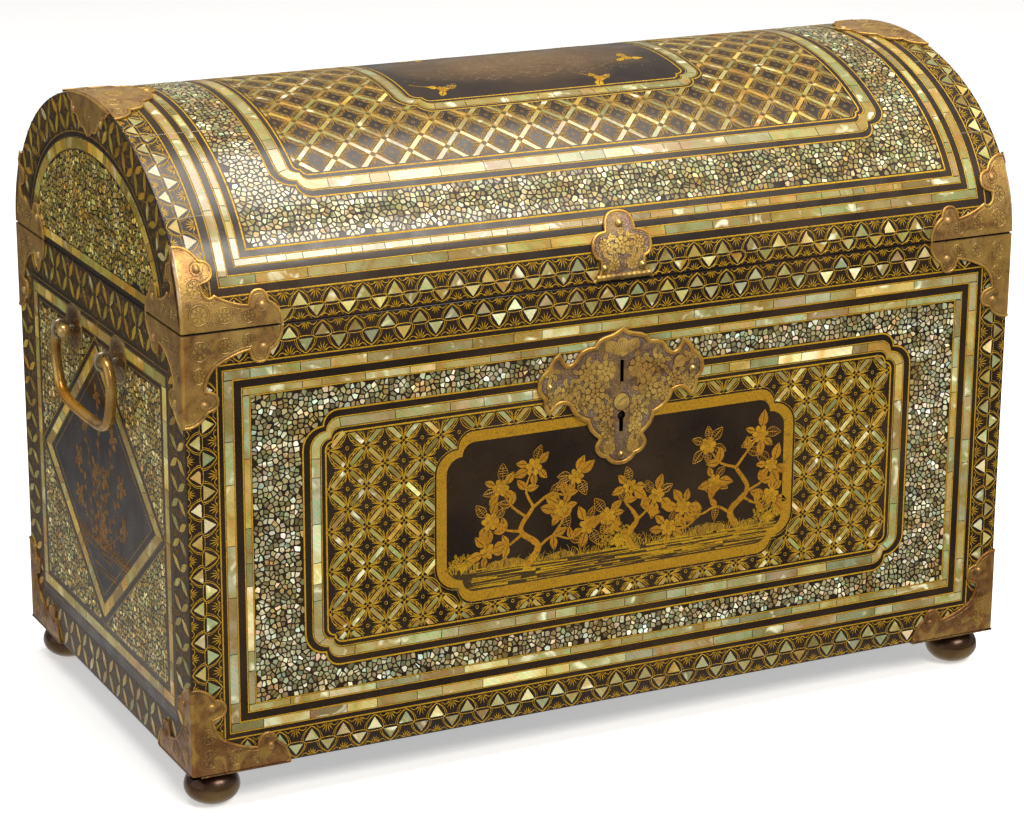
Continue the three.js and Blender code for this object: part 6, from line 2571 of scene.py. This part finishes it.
def hinge_leaf(place, knuckles):
    """A hinge leaf from its place on the back, and the stretches of the axis that its knuckles take."""
    layer = Layer(METAL, 61)
    layer.use(place)
    sides = [(LEAF_HALF_WIDTH, LEAF_START)] + mirrored(leaf_half()) + [(-LEAF_HALF_WIDTH, LEAF_START)]
    layer.plate(sides, LEAF_THICKNESS, linear(COPPER), grid=SMALL_GRID)
    layer.bead(narrowed(sides, 1.0), 2.0, 0.6, burnished(COPPER_EDGE), LEAF_THICKNESS - 0.05)
    rosette(layer, (0, 28), 6.5, LEAF_THICKNESS)
    for k, spot in enumerate(LEAF_CURLS):
        curl(layer, spot, 2.8, 70 * k, LEAF_THICKNESS)
    for spot in LEAF_STUDS:
        layer.button(spot, STUD_HEIGHT - 0.6, LEAF_THICKNESS)
    for start, end in knuckles:
        profile = [(PIN_RADIUS + 0.3, start), (KNUCKLE_RADIUS - 0.5, start), (KNUCKLE_RADIUS, start + 0.5)]
        profile += [(radius, start + end - along) for radius, along in reversed(profile)]
        lathe(layer, profile, HINGE_AXIS, (1, 0, 0), 32, linear(COPPER))
    return layer


def hinge_pin():
    layer = Layer(METAL, 62)
    end = LEAF_HALF_WIDTH + SKIN_GAP
    radius, head = PIN_HEAD
    half = [(0.0, -end - head), (radius - 0.4, -end - head), (radius, -end - head + 0.4), (radius, -end)]
    half.append((PIN_RADIUS, -end))
    profile = half + [(radius, -along) for radius, along in reversed(half)]
    lathe(layer, profile, HINGE_AXIS, (1, 0, 0), 28, burnished(COPPER_EDGE))
    return layer


def make_hinges():
    half = LEAF_HALF_WIDTH
    length = (2 * half - 2 * SKIN_GAP) / 3
    on_body = on_face((-HINGE_SPACING / 2, BACK, SEAM), (1, 0, 0), (0, 1, 0), -1)
    on_lid = on_arch(-HINGE_SPACING / 2, at_back=True)
    leaves = (("body", hinge_leaf(on_body, ((-half, -half + length), (half - length, half))), "chest"),
              ("lid", hinge_leaf(on_lid, ((-length / 2, length / 2),)), "lid"))
    pin = hinge_pin()
    for side, flip in SIDES:
        for kind, layer, body in leaves:
            fitted(layer, f"hinge_{side}_{kind}_leaf", "chased", body, GILDED, flip)
        fitted(pin, f"hinge_{side}_pin", "smooth", "chest", GILDED, flip)


# Stage and light

FLOOR_COLOUR = "e8e8e8"
FLOOR_GLOW = 0.45
FLOOR_IN_GLOSS = (0.03, 0.026, 0.022)
LEFT_REFLECTION = (0.36, 0.07)
LEFT_FADE = (0.45, 0.95)
NEAR_REFLECTION = 0.7
NEAR_REACH = 70
FLOOR_REACH = 6000
LIT_POINT = (0, 0, 0.25)
# Each lamp's name, place and size in metres, power in watts and colour
LAMPS = (
    ("key", (0.5, -2.5, 2.5), (1.8, 1.2), 88, (1.0, 0.95, 0.87)),
    ("overhead", (0.0, -0.1, 2.7), (2.6, 1.6), 87, (1.0, 0.96, 0.9)),
    ("left_card", (-2.5, -0.2, 0.9), (2.4, 1.7), 11, (1.0, 0.94, 0.84)),
)
SURROUNDING_LIGHT = 0.32


def backdrop_material():
    """A floor white to the camera. Reflected, it is dark, but pale at the near left and by the feet."""
    shader = Shader("floor", Base_Color=(*linear(FLOOR_COLOUR), 1), Roughness=0.9)

    def glow(strength):
        return shader.node("Emission", Strength=strength).outputs[0]

    def either(share, first, second):
        made = shader.node("MixShader", Fac=share)
        shader.join(first, made.inputs[1])
        shader.join(second, made.inputs[2])
        return made.outputs[0]

    def within(value, middle, reach):
        distance = shader.math("ABSOLUTE", shader.plus(value, -middle * MM), 0.0)
        return shader.math("LESS_THAN", distance, reach * MM)

    lit = shader.principled.outputs[0]
    position = shader.tree.nodes.new("ShaderNodeNewGeometry").outputs["Position"]
    place = shader.node("SeparateXYZ", Vector=position).outputs
    at_left = shader.math("LESS_THAN", place["X"], -HALF_WIDTH * MM)
    beside = shader.times(within(place["X"], 0.0, HALF_WIDTH + NEAR_REACH),
                          within(place["Y"], MIDDLE, HALF_DEPTH + NEAR_REACH))
    dark = shader.node("BsdfDiffuse", Color=(*FLOOR_IN_GLOSS, 1)).outputs[0]
    left = either(at_left, dark, glow(shader.ranged(place["Y"], *LEFT_FADE, *LEFT_REFLECTION)))
    in_gloss = either(beside, left, glow(NEAR_REFLECTION))
    path = shader.node("LightPath").outputs
    bright = shader.node("AddShader")
    shader.join(lit, bright.inputs[0])
    shader.join(glow(FLOOR_GLOW), bright.inputs[1])
    seen = either(path["Is Camera Ray"], either(path["Is Glossy Ray"], lit, in_gloss), bright.outputs[0])
    shader.join(seen, shader.tree.nodes["Material Output"].inputs["Surface"])
    return shader.material


def make_stage():
    corners = [(u, v, 0) for u, v in corners_of((-FLOOR_REACH, -FLOOR_REACH, FLOOR_REACH, FLOOR_REACH))]
    linked("floor", meshed("floor", corners, [(0, 1, 2, 3)], backdrop_material()))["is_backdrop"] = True


def area_light(name, place, size, power, colour):
    lamp = bpy.data.lights.new(name, "AREA")
    lamp.shape = "RECTANGLE"
    lamp.size, lamp.size_y = size
    lamp.energy = power
    lamp.color = colour
    light = linked(name, lamp)
    light.location = place
    light.rotation_euler = (Vector(LIT_POINT) - Vector(place)).to_track_quat("-Z", "Y").to_euler()


def make_light():
    for lamp in LAMPS:
        area_light(*lamp)
    world = bpy.data.worlds.new("studio")
    bpy.context.scene.world = world
    world.use_nodes = True
    tree = world.node_tree
    background = tree.nodes["Background"]
    background.inputs["Color"].default_value = (1, 1, 1, 1)
    path = tree.nodes.new("ShaderNodeLightPath")
    seen = tree.nodes.new("ShaderNodeMapRange")
    tree.links.new(path.outputs["Is Camera Ray"], seen.inputs["Value"])
    seen.inputs["To Min"].default_value = SURROUNDING_LIGHT
    seen.inputs["To Max"].default_value = 1.0
    tree.links.new(seen.outputs["Result"], background.inputs["Strength"])
    bpy.context.scene.view_settings.view_transform = "Standard"


FINISHES = {"lacquer": LACQUER, "gilt_copper": GILT_COPPER, "bronze": BRONZE_METAL, "iron": IRON_METAL}


def finish_nodes():
    """The frame's own pieces that stay get the finish of their slot."""
    for part in frame["record"]["subparts"]:
        node = frame["nodes"][part["node"]]
        node.data.materials.clear()
        node.data.materials.append(FINISHES[part["material_slot"]])


make_camera()
finish_nodes()
make_carcass()
make_staves()
make_lid_ends()
decorate_front()
decorate_side(LEFT_PANEL, 21)
decorate_side(RIGHT_PANEL, 23)
decorate_back()
decorate_dome()
decorate_end(LEFT_END, 25)
decorate_end(RIGHT_END, 27)
make_mounts()
make_ridge_mounts()
make_lock_and_hasp()
make_feet()
make_handles()
make_hinges()
make_stage()
make_light()

[[list(corner) for corner in box] for box in (cad_box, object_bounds())]
